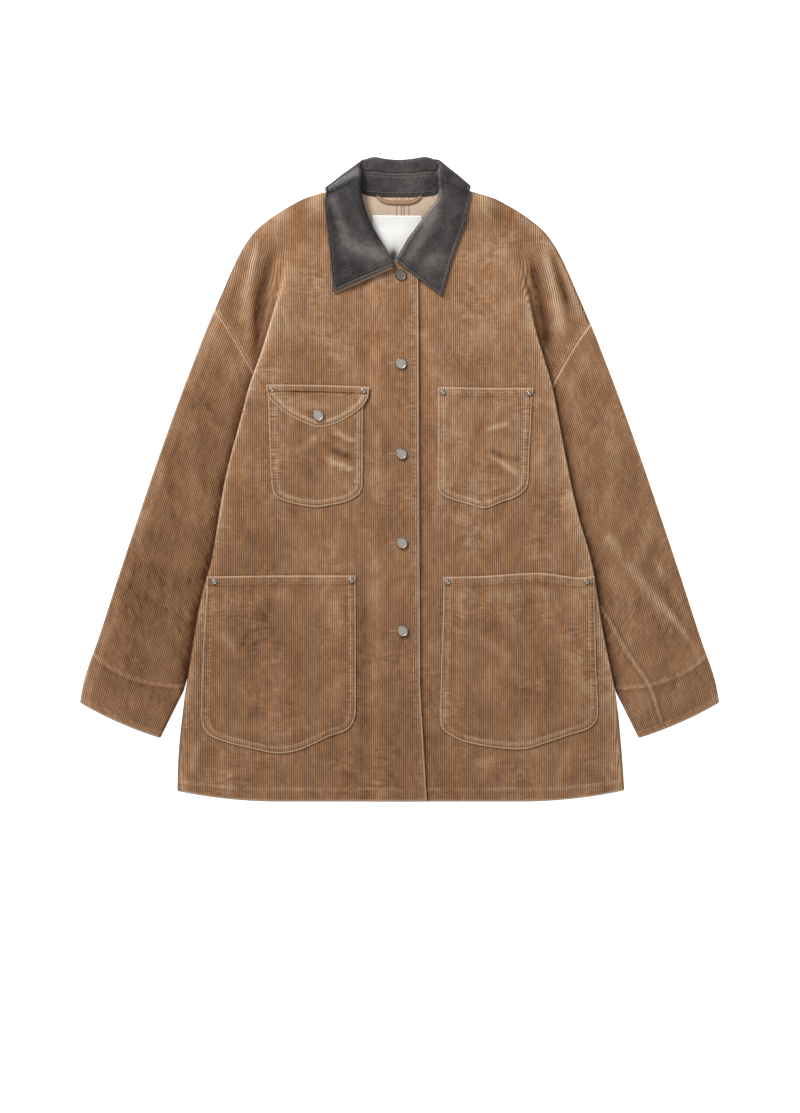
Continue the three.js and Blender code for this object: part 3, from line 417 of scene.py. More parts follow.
def clothShell(name, grid, thickness, finishes, uv, fields, closed=False, relief=None, rimOut=0.4):
    rows, columns = grid.shape[:2]
    normals = gridNormals(grid, closed)
    # the first finish is on top, or on the outside of a tube
    outside = grid - grid.mean(axis=1, keepdims=True) if closed else np.array([0, 0, 1])
    if (normals * outside).sum() < 0:
        normals = -normals
    lift = np.zeros((rows, columns)) if relief is None else relief
    top = grid + normals * (thickness / 2 + lift)[..., None]
    low = grid - normals * thickness / 2
    index = np.arange(rows * columns).reshape(rows, columns)
    far = rows * columns
    last = columns if closed else columns - 1
    nextColumn = (np.arange(last) + 1) % columns
    a, b = index[:-1, :last], index[:-1][:, nextColumn]
    d, c = index[1:, :last], index[1:][:, nextColumn]
    quads = np.stack([a, b, c, d], axis=-1).reshape(-1, 4)
    faces = [quads, quads[:, ::-1] + far]
    finishOf = [np.zeros(len(quads), int), np.full(len(quads), len(finishes) - 1)]
    if closed:
        loops = [(index[0], index[1]), (index[-1][::-1], index[-2][::-1])]
    else:
        ring = np.concatenate([index[0], index[1:-1, -1], index[-1][::-1], index[1:-1, 0][::-1]])
        inner = np.concatenate([index[1], index[1:-1, -2], index[-2][::-1], index[1:-1, 1][::-1]])
        loops = [(ring, inner)]
    flat = grid.reshape(-1, 3)
    extra, origin, count = [], [], 2 * far
    for ring, inner in loops:
        outward = flat[ring] - flat[inner]
        outward = outward / np.maximum(np.linalg.norm(outward, axis=1, keepdims=True), 1e-9)
        middle = (top.reshape(-1, 3)[ring] + low.reshape(-1, 3)[ring]) / 2 + outward * thickness * rimOut
        number = count + np.arange(len(ring))
        count += len(ring)
        extra.append(middle)
        origin.append(ring)
        following = np.roll(np.arange(len(ring)), -1)
        upper = np.stack([ring[following], ring, number, number[following]], axis=-1)
        lower = np.stack([number[following], number, ring + far, ring[following] + far], axis=-1)
        faces += [upper, lower]
        finishOf += [np.zeros(len(upper), int), np.zeros(len(lower), int)]
    points = np.concatenate([top.reshape(-1, 3), low.reshape(-1, 3), *extra])
    faces = np.concatenate(faces)
    first, second, third, fourth = (points[faces[:, k]] for k in range(4))
    volume = (first * np.cross(second, third)).sum() + (first * np.cross(third, fourth)).sum()
    if volume < 0:
        faces = faces[:, ::-1]
    made = addMesh(name, points, faces, np.concatenate(finishOf), finishes)
    pick = np.concatenate([np.arange(far), np.arange(far), *origin])
    loopPoint = np.empty(len(made.data.loops), np.int32)
    made.data.loops.foreach_get("vertex_index", loopPoint)
    spot = np.stack([part.reshape(-1)[pick] for part in uv], axis=-1) * mm
    layer = made.data.uv_layers.new(name="clothWay")
    layer.data.foreach_set("uv", spot[loopPoint].reshape(-1).astype(np.float32))
    for key, values in fields.items():
        addField(made.data, key, np.broadcast_to(values, (rows, columns)).reshape(-1)[pick])
    return made


def paintedReliefShade(grid, spread, full):
    # painted highlight on ridges and painted shade in troughs, read from the height of the cloth
    return np.clip((grid[..., 2] - blurred(grid[..., 2], spread)) / full, -1, 1)


def finishPiece(made, slot, *stands):
    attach(made, body)
    if stands:
        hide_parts(*stands)
    return made


def camel(node):
    first, *others = node.split("_")
    return first + "".join(word.title() for word in others)


def boxMiddle(box):
    low, high = box
    return (low[0] + high[0]) / 2, (low[1] + high[1]) / 2


# shader helpers
def srgb(red, green, blue):
    def linear(value):
        value = value / 255
        return value / 12.92 if value <= 0.04045 else ((value + 0.055) / 1.055) ** 2.4
    return (linear(red), linear(green), linear(blue), 1)


def addNode(tree, kind, inputs=None, **settings):
    made = tree.nodes.new(kind)
    for key, value in settings.items():
        setattr(made, key, value)
    for key, value in (inputs or {}).items():
        join(tree, value, made.inputs[key])
    return made


def join(tree, value, socket):
    if isinstance(value, bpy.types.NodeSocket):
        tree.links.new(value, socket)
    else:
        socket.default_value = value


def calc(tree, operation, *values, clamp=False):
    made = addNode(tree, "ShaderNodeMath", operation=operation, use_clamp=clamp)
    for place, value in enumerate(values):
        join(tree, value, made.inputs[place])
    return made.outputs[0]


def times(tree, first, second, clamp=False):
    return calc(tree, "MULTIPLY", first, second, clamp=clamp)


def minus(tree, first, second):
    return calc(tree, "SUBTRACT", first, second)


def plus(tree, base, *terms, clamp=False):
    # a base with values added, each by its own amount
    for value, amount in terms:
        base = calc(tree, "MULTIPLY_ADD", value, amount, base, clamp=clamp)
    return base


def fallOff(tree, value, width):
    # 1 at zero, fading over a width
    share = calc(tree, "DIVIDE", value, width)
    return calc(tree, "EXPONENT", times(tree, calc(tree, "POWER", share, 2.0), -1.0))


def remap(tree, value, low, high, toLow=0.0, toHigh=1.0):
    inputs = {"Value": value, "From Min": low, "From Max": high, "To Min": toLow, "To Max": toHigh}
    return addNode(tree, "ShaderNodeMapRange", inputs, interpolation_type="SMOOTHSTEP").outputs["Result"]


def mixColor(tree, share, first, second):
    made = addNode(tree, "ShaderNodeMix", data_type="RGBA", blend_type="MIX")
    for place, value in ((0, share), (6, first), (7, second)):
        join(tree, value, made.inputs[place])
    return made.outputs[2]


def noise(tree, where, scale, detail=2.0, rough=0.5, distort=0.0):
    inputs = {"Vector": where, "Scale": scale, "Detail": detail, "Roughness": rough, "Distortion": distort}
    return addNode(tree, "ShaderNodeTexNoise", inputs).outputs["Fac"]


def combined(tree, x, y, z):
    return addNode(tree, "ShaderNodeCombineXYZ", {"X": x, "Y": y, "Z": z}).outputs[0]


def field(tree, name):
    return addNode(tree, "ShaderNodeAttribute", attribute_name=name).outputs["Fac"]


def objectSpot(tree):
    return addNode(tree, "ShaderNodeTexCoord").outputs["Object"]


def clothSpot(tree):
    return addNode(tree, "ShaderNodeUVMap", uv_map="clothWay").outputs["UV"]


def clothPlace(tree, stretchAcross, stretchAlong):
    scale = {"Vector": clothSpot(tree), "Scale": (stretchAcross, stretchAlong, 1)}
    return addNode(tree, "ShaderNodeMapping", scale, vector_type="POINT").outputs["Vector"]


def clothAxis(tree, axis):
    return addNode(tree, "ShaderNodeSeparateXYZ", {"Vector": clothSpot(tree)}).outputs[axis]


def clothWave(tree, axis, period):
    return calc(tree, "SINE", times(tree, clothAxis(tree, axis), 2 * math.pi / period))


def startGroup(name, inputs, outputs):
    tree = bpy.data.node_groups.new(name, "ShaderNodeTree")
    for key, value in inputs.items():
        tree.interface.new_socket(key, in_out="INPUT", socket_type=floatSocket).default_value = value
    for key in outputs.split():
        tree.interface.new_socket(key, in_out="OUTPUT", socket_type=floatSocket)
    return tree, tree.nodes.new("NodeGroupInput").outputs, tree.nodes.new("NodeGroupOutput").inputs


def useGroup(tree, name, inputs=None):
    made = tree.nodes.new("ShaderNodeGroup")
    made.node_tree = bpy.data.node_groups[name]
    for key, value in (inputs or {}).items():
        join(tree, value, made.inputs[key])
    return made.outputs


floatSocket = "NodeSocketFloat"
ribPeriod = 0.0027

# ribs of the corduroy: round wales with narrow grooves, running along the cloth
tree, given, result = startGroup(
    "corduroyRibs", {"Rib Period": ribPeriod, "Wander": 0.0004, "Unevenness": 0.5}, "Rib Groove Pile")
bend = minus(tree, noise(tree, clothPlace(tree, 1, 0.4), 60.0), 0.5)
shifted = plus(tree, clothAxis(tree, "X"), (bend, given["Wander"]))
phase = calc(tree, "FRACT", calc(tree, "DIVIDE", shifted, given["Rib Period"]))
fromMiddle = calc(tree, "ABSOLUTE", plus(tree, -1.0, (phase, 2.0)))
rib = minus(tree, 1.0, calc(tree, "POWER", fromMiddle, 2.6))
pile = noise(tree, clothPlace(tree, 1.0, 0.55), 950.0, 3.0, 0.6)
uneven = times(tree, minus(tree, pile, 0.5), given["Unevenness"])
join(tree, calc(tree, "ADD", rib, uneven), result["Rib"])
join(tree, calc(tree, "POWER", fromMiddle, 2.5), result["Groove"])
join(tree, pile, result["Pile"])

# clouds where the nap lies one way or the other
tree, given, result = startGroup(
    "napClouds", {"Cloud Scale": 30.0, "Streak Scale": 150.0, "Streaks": 0.7, "Crush": 1.05}, "Nap")
clouds = noise(tree, clothPlace(tree, 1.0, 0.85), given["Cloud Scale"], 5.0, 0.6, 0.6)
streaks = noise(tree, clothPlace(tree, 1.15, 0.4), given["Streak Scale"], 4.0, 0.62, 0.3)
crushed = noise(tree, clothPlace(tree, 0.45, 1.3), 100.0, 3.0, 0.62, 1.2)
patchy = remap(tree, noise(tree, clothPlace(tree, 1, 1), 15.0), 0.42, 0.64)
crushed = times(tree, times(tree, minus(tree, crushed, 0.5), patchy), given["Crush"])
both = plus(tree, crushed, (minus(tree, clouds, 0.5), 0.55), (minus(tree, streaks, 0.5), given["Streaks"]))
join(tree, times(tree, both, 4.0), result["Nap"])

# sewn rows: a furrow under the thread, a ridge and puckers beside it
tree, given, result = startGroup(
    "sewnRows", {"Furrow Width": 0.8, "Pucker Width": 3.4, "Pucker Length": 2.6}, "Furrow Pucker Ridge")
away = field(tree, "rowAway")
join(tree, fallOff(tree, away, given["Furrow Width"]), result["Furrow"])
ridge = fallOff(tree, minus(tree, away, 1.7), 0.9)
patchy = noise(tree, clothPlace(tree, 1, 1), 210.0, 2.0, 0.6)
join(tree, times(tree, ridge, remap(tree, patchy, 0.3, 0.7)), result["Ridge"])
runShare = calc(tree, "DIVIDE", field(tree, "rowRun"), given["Pucker Length"])
place = combined(tree, runShare, times(tree, away, 0.04), 0.0)
wrinkle = remap(tree, noise(tree, place, 1.0, 1.0), 0.36, 0.64, -1.0, 1.0)
gathered = times(tree, fallOff(tree, away, given["Pucker Width"]), field(tree, "gather"))
join(tree, times(tree, wrinkle, gathered), result["Pucker"])

# worn rims along edges and folds
tree, given, result = startGroup("wornRim", {"Rim Width": 1.6, "Patchiness": 0.5}, "Worn")
patchy = noise(tree, clothPlace(tree, 1, 1), 170.0, 3.0, 0.6)
kept = minus(tree, 1.0, times(tree, given["Patchiness"], patchy))
join(tree, times(tree, fallOff(tree, field(tree, "rimAway"), given["Rim Width"]), kept), result["Worn"])

# leather grain: small pebbles, fine creases and broad clouds
tree, given, result = startGroup("leatherGrain", {"Pebble Scale": 560.0, "Crease Scale": 120.0},
                                 "Grain Cloud")
spot = objectSpot(tree)
pebbles = addNode(tree, "ShaderNodeTexVoronoi", {"Vector": spot, "Scale": given["Pebble Scale"]},
                  feature="SMOOTH_F1").outputs["Distance"]
creased = noise(tree, spot, given["Crease Scale"], 5.0, 0.65, 0.5)
join(tree, plus(tree, pebbles, (creased, 1.4)), result["Grain"])
join(tree, noise(tree, spot, 45.0, 3.0, 0.6), result["Cloud"])


def startMaterial(name, constants):
    made = bpy.data.materials.new(name)
    made.use_nodes = True
    shader = made.node_tree.nodes["Principled BSDF"]
    for key, value in constants.items():
        shader.inputs[key].default_value = value
    return made, made.node_tree, shader


def dress(tree, shader, color, rough, height, depth):
    bump = addNode(tree, "ShaderNodeBump", {"Height": height, "Distance": depth, "Strength": 1.0})
    for key, value in (("Base Color", color), ("Roughness", rough), ("Normal", bump.outputs["Normal"])):
        join(tree, value, shader.inputs[key])


def shaded(tree, level, look):
    # the cloth's middle color, darker below a level of 0 and lighter above it
    color = mixColor(tree, times(tree, level, -1.0, clamp=True), look["mid"], look["dark"])
    return mixColor(tree, times(tree, level, 1.0, clamp=True), color, look["light"])


def corduroyMaterial(name, look):
    made, tree, shader = startMaterial(name, {
        "Sheen Weight": look["sheen"], "Sheen Roughness": 0.45, "Sheen Tint": srgb(226, 196, 166),
        "Specular IOR Level": 0.12})
    ribs, sewn = useGroup(tree, "corduroyRibs"), useGroup(tree, "sewnRows")
    nap, worn = useGroup(tree, "napClouds")["Nap"], useGroup(tree, "wornRim")["Worn"]
    # nap clouds and pile are the cloth's own tone; crest adds painted highlight on ridges and painted shade
    # in troughs, tone holds nap patches with painted shade and highlights, and puckers get painted light and
    # shade
    level = plus(
        tree, times(tree, nap, look["nap"]), (field(tree, "crest"), look["crest"]),
        (field(tree, "tone"), look["tone"]), (sewn["Pucker"], look["pucker"]), (sewn["Ridge"], look["ridge"]),
        (minus(tree, ribs["Pile"], 0.5), look["pile"]))
    # painted shade in the grooves between the wales, less where the pile is crushed and closes them
    openShare = remap(tree, noise(tree, clothPlace(tree, 1, 0.6), 22.0, 3.0, 0.6), 0.38, 0.62, 0.5, 1.05)
    grooveShare = times(tree, times(tree, ribs["Groove"], openShare), look["groove"])
    color = mixColor(tree, grooveShare, shaded(tree, level, look), look["dark"])
    color = mixColor(tree, times(tree, sewn["Furrow"], look["furrow"]), color, look["dark"])
    color = mixColor(tree, times(tree, worn, look["wornShare"], clamp=True), color, look["worn"])
    height = plus(tree, ribs["Rib"], (sewn["Pucker"], 0.5), (sewn["Furrow"], -0.6))
    dress(tree, shader, color, remap(tree, nap, -1.0, 1.0, 0.96, 0.8), height, look["ribDepth"])
    return made


def weave(tree, acrossPeriod, alongPeriod):
    return times(tree, clothWave(tree, "X", acrossPeriod), clothWave(tree, "Y", alongPeriod))


def insideMaterial(name, look):
    made, tree, shader = startMaterial(name, {"Sheen Weight": 0.1, "Specular IOR Level": 0.1})
    nap, furrow = useGroup(tree, "napClouds")["Nap"], useGroup(tree, "sewnRows")["Furrow"]
    threads, rib = weave(tree, look["across"], look["along"]), clothWave(tree, "X", ribPeriod)
    color = shaded(tree, plus(tree, times(tree, nap, 0.1), (rib, 0.03), (threads, 0.05)), look)
    color = mixColor(tree, times(tree, furrow, 0.9), color, look["dark"])
    height = plus(tree, times(tree, threads, 0.3), (rib, 0.5))
    dress(tree, shader, color, remap(tree, nap, -1.0, 1.0, 0.95, 0.85), height, 0.0001)
    return made


def leatherMaterial(name, look):
    made, tree, shader = startMaterial(name, {"Specular IOR Level": 0.35, "Sheen Weight": 0.04})
    grain, worn = useGroup(tree, "leatherGrain"), useGroup(tree, "wornRim", {"Rim Width": 1.1})["Worn"]
    sewn = useGroup(tree, "sewnRows", {"Furrow Width": 0.65, "Pucker Width": 4.0, "Pucker Length": 6.0})
    share = times(tree, remap(tree, grain["Cloud"], 0.36, 0.66), 0.14)
    # tone adds painted highlights along the bends and painted shade; crest adds painted highlight on ridges
    # and painted shade in troughs
    share = plus(tree, share, (field(tree, "tone"), 1.0), (field(tree, "crest"), 0.25))
    # the grain shows most where the leather is lit
    speck = minus(tree, remap(tree, grain["Grain"], 0.75, 1.35), 0.5)
    share = plus(tree, share, (speck, plus(tree, 0.05, (share, 0.5))), clamp=True)
    color = mixColor(tree, share, look["base"], look["light"])
    color = mixColor(tree, times(tree, worn, 0.55), color, look["edge"])
    color = mixColor(tree, times(tree, sewn["Furrow"], 0.6), color, look["base"])
    rough = remap(tree, grain["Cloud"], 0.3, 0.7, *look["rough"])
    dress(tree, shader, color, rough, plus(tree, grain["Grain"], (sewn["Furrow"], -2.0),
                                           (sewn["Pucker"], 0.3)), 0.0003)
    return made


def threadMaterial(name, base, light, gloss):
    made, tree, shader = startMaterial(name, {"Specular IOR Level": gloss, "Sheen Weight": gloss * 0.6})
    twist = noise(tree, objectSpot(tree), 1400.0)
    dress(tree, shader, mixColor(tree, twist, base, light), remap(tree, twist, 0.3, 0.7, 0.6, 0.8), twist,
          0.0001)
    return made


def metalMaterial(name, dark, light, rough):
    # antiqued: bright where worn, dark in the recesses
    made, tree, shader = startMaterial(name, {"Metallic": 1.0})
    spot = objectSpot(tree)
    patina = noise(tree, spot, 420.0, 4.0, 0.65)
    share = plus(tree, plus(tree, -0.25, (field(tree, "worn"), 1.1)), (patina, 0.5), clamp=True)
    dress(tree, shader, mixColor(tree, share, dark, light),
          remap(tree, patina, 0.3, 0.7, rough, rough + 0.18),
          noise(tree, spot, 1800.0, 3.0), 0.00006)
    return made


def labelMaterial(name):
    made, tree, shader = startMaterial(name, {"Sheen Weight": 0.1, "Specular IOR Level": 0.3})
    threads, soft = weave(tree, 0.0007, 0.0005), noise(tree, clothSpot(tree), 60.0, 3.0)
    woven = mixColor(tree, plus(tree, soft, (threads, 0.04)), srgb(216, 215, 212), srgb(224, 223, 221))
    shadow = times(tree, field(tree, "tone"), -1.0, clamp=True)
    dress(tree, shader, mixColor(tree, shadow, woven, srgb(70, 66, 64)),
          remap(tree, soft, 0.3, 0.7, 0.75, 0.9),
          threads, 0.00002)
    return made


corduroy = corduroyMaterial("corduroy", {
    "dark": srgb(68, 38, 17), "mid": srgb(147, 109, 79), "light": srgb(202, 171, 141),
    "worn": srgb(208, 178, 149),
    "ribDepth": 0.0006, "groove": 0.8, "nap": 0.33, "crest": 0.72, "tone": 0.72, "pile": 0.9, "furrow": 0.08,
    "pucker": 0.36, "ridge": 0.4, "wornShare": 0.7, "sheen": 0.17})
threads = {"across": 2 * math.pi / 4650, "along": 2 * math.pi / 5100}
inside = insideMaterial("corduroyInside", {
    "mid": srgb(184, 161, 141), "dark": srgb(126, 98, 78), "light": srgb(214, 194, 176), **threads})
loopCloth = insideMaterial("loopTape", {
    "mid": srgb(162, 130, 106), "dark": srgb(102, 74, 56), "light": srgb(182, 150, 126), **threads})
leather = leatherMaterial("collarLeather", {
    "base": srgb(24, 19, 18), "light": srgb(108, 100, 98), "edge": srgb(104, 95, 92), "rough": (0.42, 0.56)})
sewingThread = threadMaterial("tanThread", srgb(140, 102, 74), srgb(178, 140, 108), 0.3)
leatherThread = threadMaterial("darkThread", srgb(104, 96, 92), srgb(150, 142, 137), 0.12)
buttonMetal = metalMaterial("antiquePewter", srgb(74, 66, 60), srgb(188, 180, 170), 0.34)
rivetMetal = metalMaterial("darkRivetMetal", srgb(36, 32, 30), srgb(206, 198, 186), 0.36)
labelCloth = labelMaterial("blankLabelCloth")
print("materials ready")


# Patches of lighter and darker colour: place, size and amount. Most are the nap's own tone as the cloth was
# stroked; some are painted shade, as the darker hem
napPatches = table("x y size amount", [
    (-100, 190, 70, 0.14), (100, 200, 70, 0.12), (0, 330, 120, 0.12), (-112, 310, 45, 0.08),
    (112, 310, 45, 0.1),
    (-180, -60, 60, -0.08), (40, -150, 60, -0.06), (-150, -240, 80, -0.12), (150, -250, 80, -0.06),
    (0, -380, 190, -0.26), (-330, -130, 130, -0.64), (-270, 80, 90, -0.48), (-324, -264, 60, -0.2),
    (330, -100, 120, -0.09),
    (350, -240, 50, -0.10), (-110, 40, 50, -0.05), (-12, 130, 36, -0.2), (-15, 40, 30, -0.3),
    (-18, -60, 36, -0.26), (-20, -190, 40, -0.3), (-18, -310, 40, -0.18), (107, 40, 56, 0.12),
    (60, 120, 22, 0.08),
    (-70, -40, 30, 0.06), (-60, -80, 34, 0.06), (-100, -70, 24, -0.08), (150, -40, 40, -0.08),
    (105, -60, 40, 0.06),
    (33, -150, 14, 0.12), (36, -215, 16, 0.12), (34, -290, 14, 0.1), (-38, 118, 9, 0.16), (-42, -2, 10, 0.14),
    (170, -372, 46, 0.14), (-262, -240, 34, -0.2), (-210, 330, 30, -0.08), (-60, -40, 30, -0.06),
    (-12, 200, 30, -0.1), (-16, -380, 30, -0.1),
])
# the nap is worn light beside each buttonhole
for k in range(2, 6):
    holeX, holeY = boxMiddle(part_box(f"button_{k}"))
    napPatches.append({"x": holeX / mm - 9.5, "y": holeY / mm - 1, "size": 5.5, "amount": 0.3})


def toneField(x, y):
    tone = np.zeros(x.shape)
    for row in napPatches:
        tone = tone + row["amount"] * np.exp(-((x - row["x"]) ** 2 + (y - row["y"]) ** 2) / row["size"] ** 2)
    return tone


# patch pockets and flap: outlines first, since the fronts pucker beside them
patches = {
    "chest_pocket_right": {
        "half": "right", "rows": 74, "columns": 66, "band": 0, "puff": 0.9, "border": 0.16,
        "gathered": (1, 0.4),
        "top": table("out y", [(45, 113), (165, 113.5)]),
        "inner": table("y out", [(113, 45.2), (88, 45.6), (-4, 45.8)]),
        "outer": table("y out", [(113, 164.5), (98, 163.6), (17, 161.1), (-10, 159.4)]),
        "low": table("out y", [(45.8, -6), (47.6, -13), (52, -20), (68, -28.5), (87, -32.5), (104, -35),
                               (124, -32.5), (143, -27.5), (155, -21), (158.6, -14), (159.6, -6)]),
    },
    "chest_pocket_left": {
        "half": "left", "rows": 78, "columns": 66, "band": 8.5, "puff": 0.9, "border": 0.16,
        "gathered": (0.2, 0.8),
        "top": table("out y", [(48.5, 114.5), (105, 113.2), (167.5, 112.9)]),
        "inner": table("y out", [(114, 48.5), (101, 48.5), (-7, 47.6)]),
        "outer": table("y out", [(113, 167), (101, 165.6), (69, 164), (21, 161.6), (-1, 160.9)]),
        "low": table("out y", [(47.6, -7), (48.6, -13), (51.6, -18), (64.4, -25), (85, -31), (105.6, -36.3),
                               (128, -28.5), (146.9, -21.5), (157.6, -12), (160.2, -6), (160.9, 1)]),
    },
    "lower_pocket_right": {
        "half": "right", "rows": 96, "columns": 84, "band": 9.5, "puff": 1.3, "border": 0.14,
        "gathered": (0.5, 0.5),
        "top": table("out y", [(55.6, -121.3), (150, -121.2), (240, -122.5)]),
        "inner": table("y out", [(-121, 55.4), (-226, 54.4), (-287, 54.6)]),
        "outer": table("y out", [(-122, 240), (-134, 240), (-184, 243.3), (-246, 246.4), (-298, 248.1)]),
        "low": table("out y", [(54.6, -287), (55.8, -297), (58.6, -305), (67, -314), (88, -321.3),
                               (108.5, -331.3),
                               (129.4, -339.6), (154.4, -342.5), (181, -337.5), (212, -330), (235, -321.3),
                               (243.4, -312.5), (247, -304), (248.1, -296)]),
    },
    "lower_pocket_left": {
        "half": "left", "rows": 96, "columns": 84, "band": 9.5, "puff": 1.3, "border": 0.14,
        "gathered": (0.4, 0.6),
        "top": table("out y", [(54.4, -123), (100, -122), (172.5, -117.9), (203, -121.2), (224, -123.7),
                               (243, -122)]),
        "inner": table("y out", [(-123, 54.6), (-134, 55.4), (-205, 53.1), (-267, 51.2), (-298, 50.6)]),
        "outer": table("y out", [(-122, 243), (-132, 243), (-226, 245.1), (-287, 248.1)]),
        "low": table("out y", [(50.6, -298), (51.4, -306), (55, -313), (61, -318), (79.4, -327.5),
                               (120.6, -335.5),
                               (156, -337.1), (183, -329.3), (214, -318.8), (234, -312.5), (243.4, -305),
                               (247, -297), (248.1, -287)]),
    },
}
flap = {
    "half": "right", "rows": 34, "columns": 66, "band": 0, "puff": 1.0, "border": 0.6, "gathered": (0, 0),
    "top": table("out y", [(38.1, 114.4), (100, 116.6), (166.2, 116.9)]),
    "inner": table("y out", [(114.4, 38.1), (105, 38.6)]),
    "outer": table("y out", [(116.9, 166.2), (108.8, 165.8)]),
    "low": table("out y", [(38.1, 106), (39.4, 101), (46.9, 90), (61.9, 78.8), (80.6, 69.2), (101.9, 65),
                           (118.1, 70.2), (136.9, 79.6), (155.6, 93.6), (163, 102), (165.8, 108.8)]),
}
sewing = {"edgeRow": 2.0, "innerRow": 8.3, "placketRow": 6.0, "hemRow": 14.5, "leatherRow": 3.2,
          "placketTop": 262}
closeSteps = [0, 0.6, 1.3, 2.0, 2.7, 3.6, 5.0, 6.4, 7.5, 8.3, 9.1, 10.2, 12.2]


def spread(length, count, near=closeSteps):
    # shares of a length: close steps at both ends, where the sewing is, and even ones between
    near = np.array(near) * min(1, length * 0.3 / near[-1])
    middle = np.linspace(near[-1], length - near[-1], count - 2 * len(near) + 2)[1:-1]
    return np.concatenate([near, middle, length - near[::-1]]) / length


def patchPlaces(plan):
    top, low = (softThrough(plan[key], "out", "y") for key in ("top", "low"))
    inner, outer = (softThrough(plan[key], "y", "out") for key in ("inner", "outer"))
    lowOut, topOut = ([row["out"] for row in plan[key]] for key in ("low", "top"))
    across = spread(lowOut[-1] - lowOut[0], plan["columns"])[None, :]
    drop = top(np.mean(topOut)) - low(np.mean(lowOut))
    down = spread(drop, plan["rows"])[:, None]
    lowY = low(lowOut[0] + (lowOut[-1] - lowOut[0]) * across)
    topY = top(topOut[0] + (topOut[-1] - topOut[0]) * across)
    y = topY + (lowY - topY) * down
    out = inner(y) + (outer(y) - inner(y)) * across
    return out, y


def ringOf(x, y):
    # the outline of a patch: down one side, along the bottom and up the other
    xs = np.concatenate([x[:, 0], x[-1, 1:-1], x[::-1, -1]])
    ys = np.concatenate([y[:, 0], y[-1, 1:-1], y[::-1, -1]])
    return np.stack([xs, ys], axis=-1)


for plan in [*patches.values(), flap]:
    plan["out"], plan["y"] = patchPlaces(plan)
    plan["x"] = halves[plan["half"]]["sign"] * plan["out"]
    plan["ring"] = ringOf(plan["x"], plan["y"])[::2]

# fronts
front = {"levels": 262, "turnsFrom": 298.0, "panelColumns": 84, "foldSteps": 7, "tuckSteps": 6,
         "innerSteps": 5, "wingSteps": 20,
         "wingCrowding": 1.8, "leastShare": 0.4, "mostShare": 0.62, "fullSpan": 160,
         "placketSteps": [0, 0.7, 1.5, 2.6, 4.2, 5.3, 6.0, 6.7, 7.8, 9.8], "crestSpread": 4, "crestFull": 1.3}


def bodyLevels(half):
    arm = half["armhole"]
    even = np.linspace(373, hemY, front["levels"])
    sewn = hemY + sewing["hemRow"] + np.array([-1.6, -0.8, 0, 0.8, 1.6])
    own = np.array([arm["topY"] + 0.5, arm["topY"], arm["lowY"], arm["lowY"] - underarm["below"],
                    hemY + 0.7, hemY + 1.6, *sewn])
    kept = even[np.abs(even[:, None] - own[None, :]).min(axis=1) > 0.9]
    return np.sort(np.unique(np.concatenate([kept, own, [hemY]])))[::-1]


def crowded(start, end, steps, share, count):
    # places from start to end: close steps first, where the sewing is, then even ones
    steps = np.array(steps)[None, :]
    near = steps * np.minimum(1, (end - start) * share / steps[0, -1])
    last, even = near[:, -1:], np.linspace(0, 1, count + 1)[None, 1:]
    return np.concatenate([start + near, start + last + (end - start - last) * even], axis=1)


def frontSections(half, plan, y):
    start, outer, turned = half["neckOut"](y), half["wingEnd"](y), half["turn"](y)
    soft, width = turned < 0.01, outer - start
    settled = fold["sideShare"] + (1 - fold["sideShare"]) * half["settle"](y)
    room = np.where(soft, np.clip(width / plan["fullSpan"], 0.05, 1), settled)
    foldAt = half["foldStart"](y)
    bounded = np.clip(foldAt, start + width * plan["leastShare"], start + width * plan["mostShare"])
    out = crowded(start, np.where(soft, bounded, foldAt), plan["placketSteps"], 0.4, plan["panelColumns"])
    z = half["panelHeight"](out, y)
    # the cloth walks on round the fold, back over the sleeve and out again
    foldSteps, tuckSteps, innerSteps = plan["foldSteps"], plan["tuckSteps"], plan["innerSteps"]
    endAngle = np.where(y < half["armhole"]["lowY"], math.pi / 2, 0)
    walk = [(turned * (j + 0.5) / foldSteps, fold["outer"] * room / foldSteps) for j in range(foldSteps)]
    walk += [(turned, half["tuck"](y) * room / tuckSteps)] * tuckSteps
    walk += [(turned + (endAngle - turned) * (j + 0.5) / innerSteps, fold["inner"] * room / innerSteps)
             for j in range(innerSteps)]
    heading, length = (np.concatenate(part, axis=1) for part in zip(*walk))
    walkOut = out[:, -1:] + np.cumsum(length * np.cos(heading), axis=1)
    walkZ = z[:, -1:] - np.cumsum(length * np.sin(heading), axis=1)
    walkZ = np.where(soft, half["wingHeight"](walkOut, y), walkZ)
    share = np.linspace(0, 1, plan["wingSteps"] + 1)[None, 1:]
    fromOut, fromZ = walkOut[:, -1:], walkZ[:, -1:]
    wingOut = fromOut + (outer - fromOut) * (1 - (1 - share) ** plan["wingCrowding"])
    atSide = y < half["armhole"]["lowY"]
    endZ = fromZ + (thick + cloth["restGap"] - fromZ) * share
    endOut = np.where(atSide, fromOut, wingOut)
    endHeight = np.where(atSide, endZ, half["wingHeight"](wingOut, y))
    return np.concatenate([out, walkOut, endOut], axis=1), np.concatenate([z, walkZ, endHeight], axis=1)


def nearRows(x, y, lines):
    away, run = np.full(x.shape, nowhere), np.zeros(x.shape)
    for line in lines:
        distance, along = nearLine(line, x, y)
        run = np.where(distance < away, along, run)
        away = np.minimum(away, distance)
    return away, run


trees = {}


def keepSurface(name, made):
    trees[name] = BVHTree.FromPolygons([v.co[:] for v in made.data.vertices],
                                       [p.vertices[:] for p in made.data.polygons])


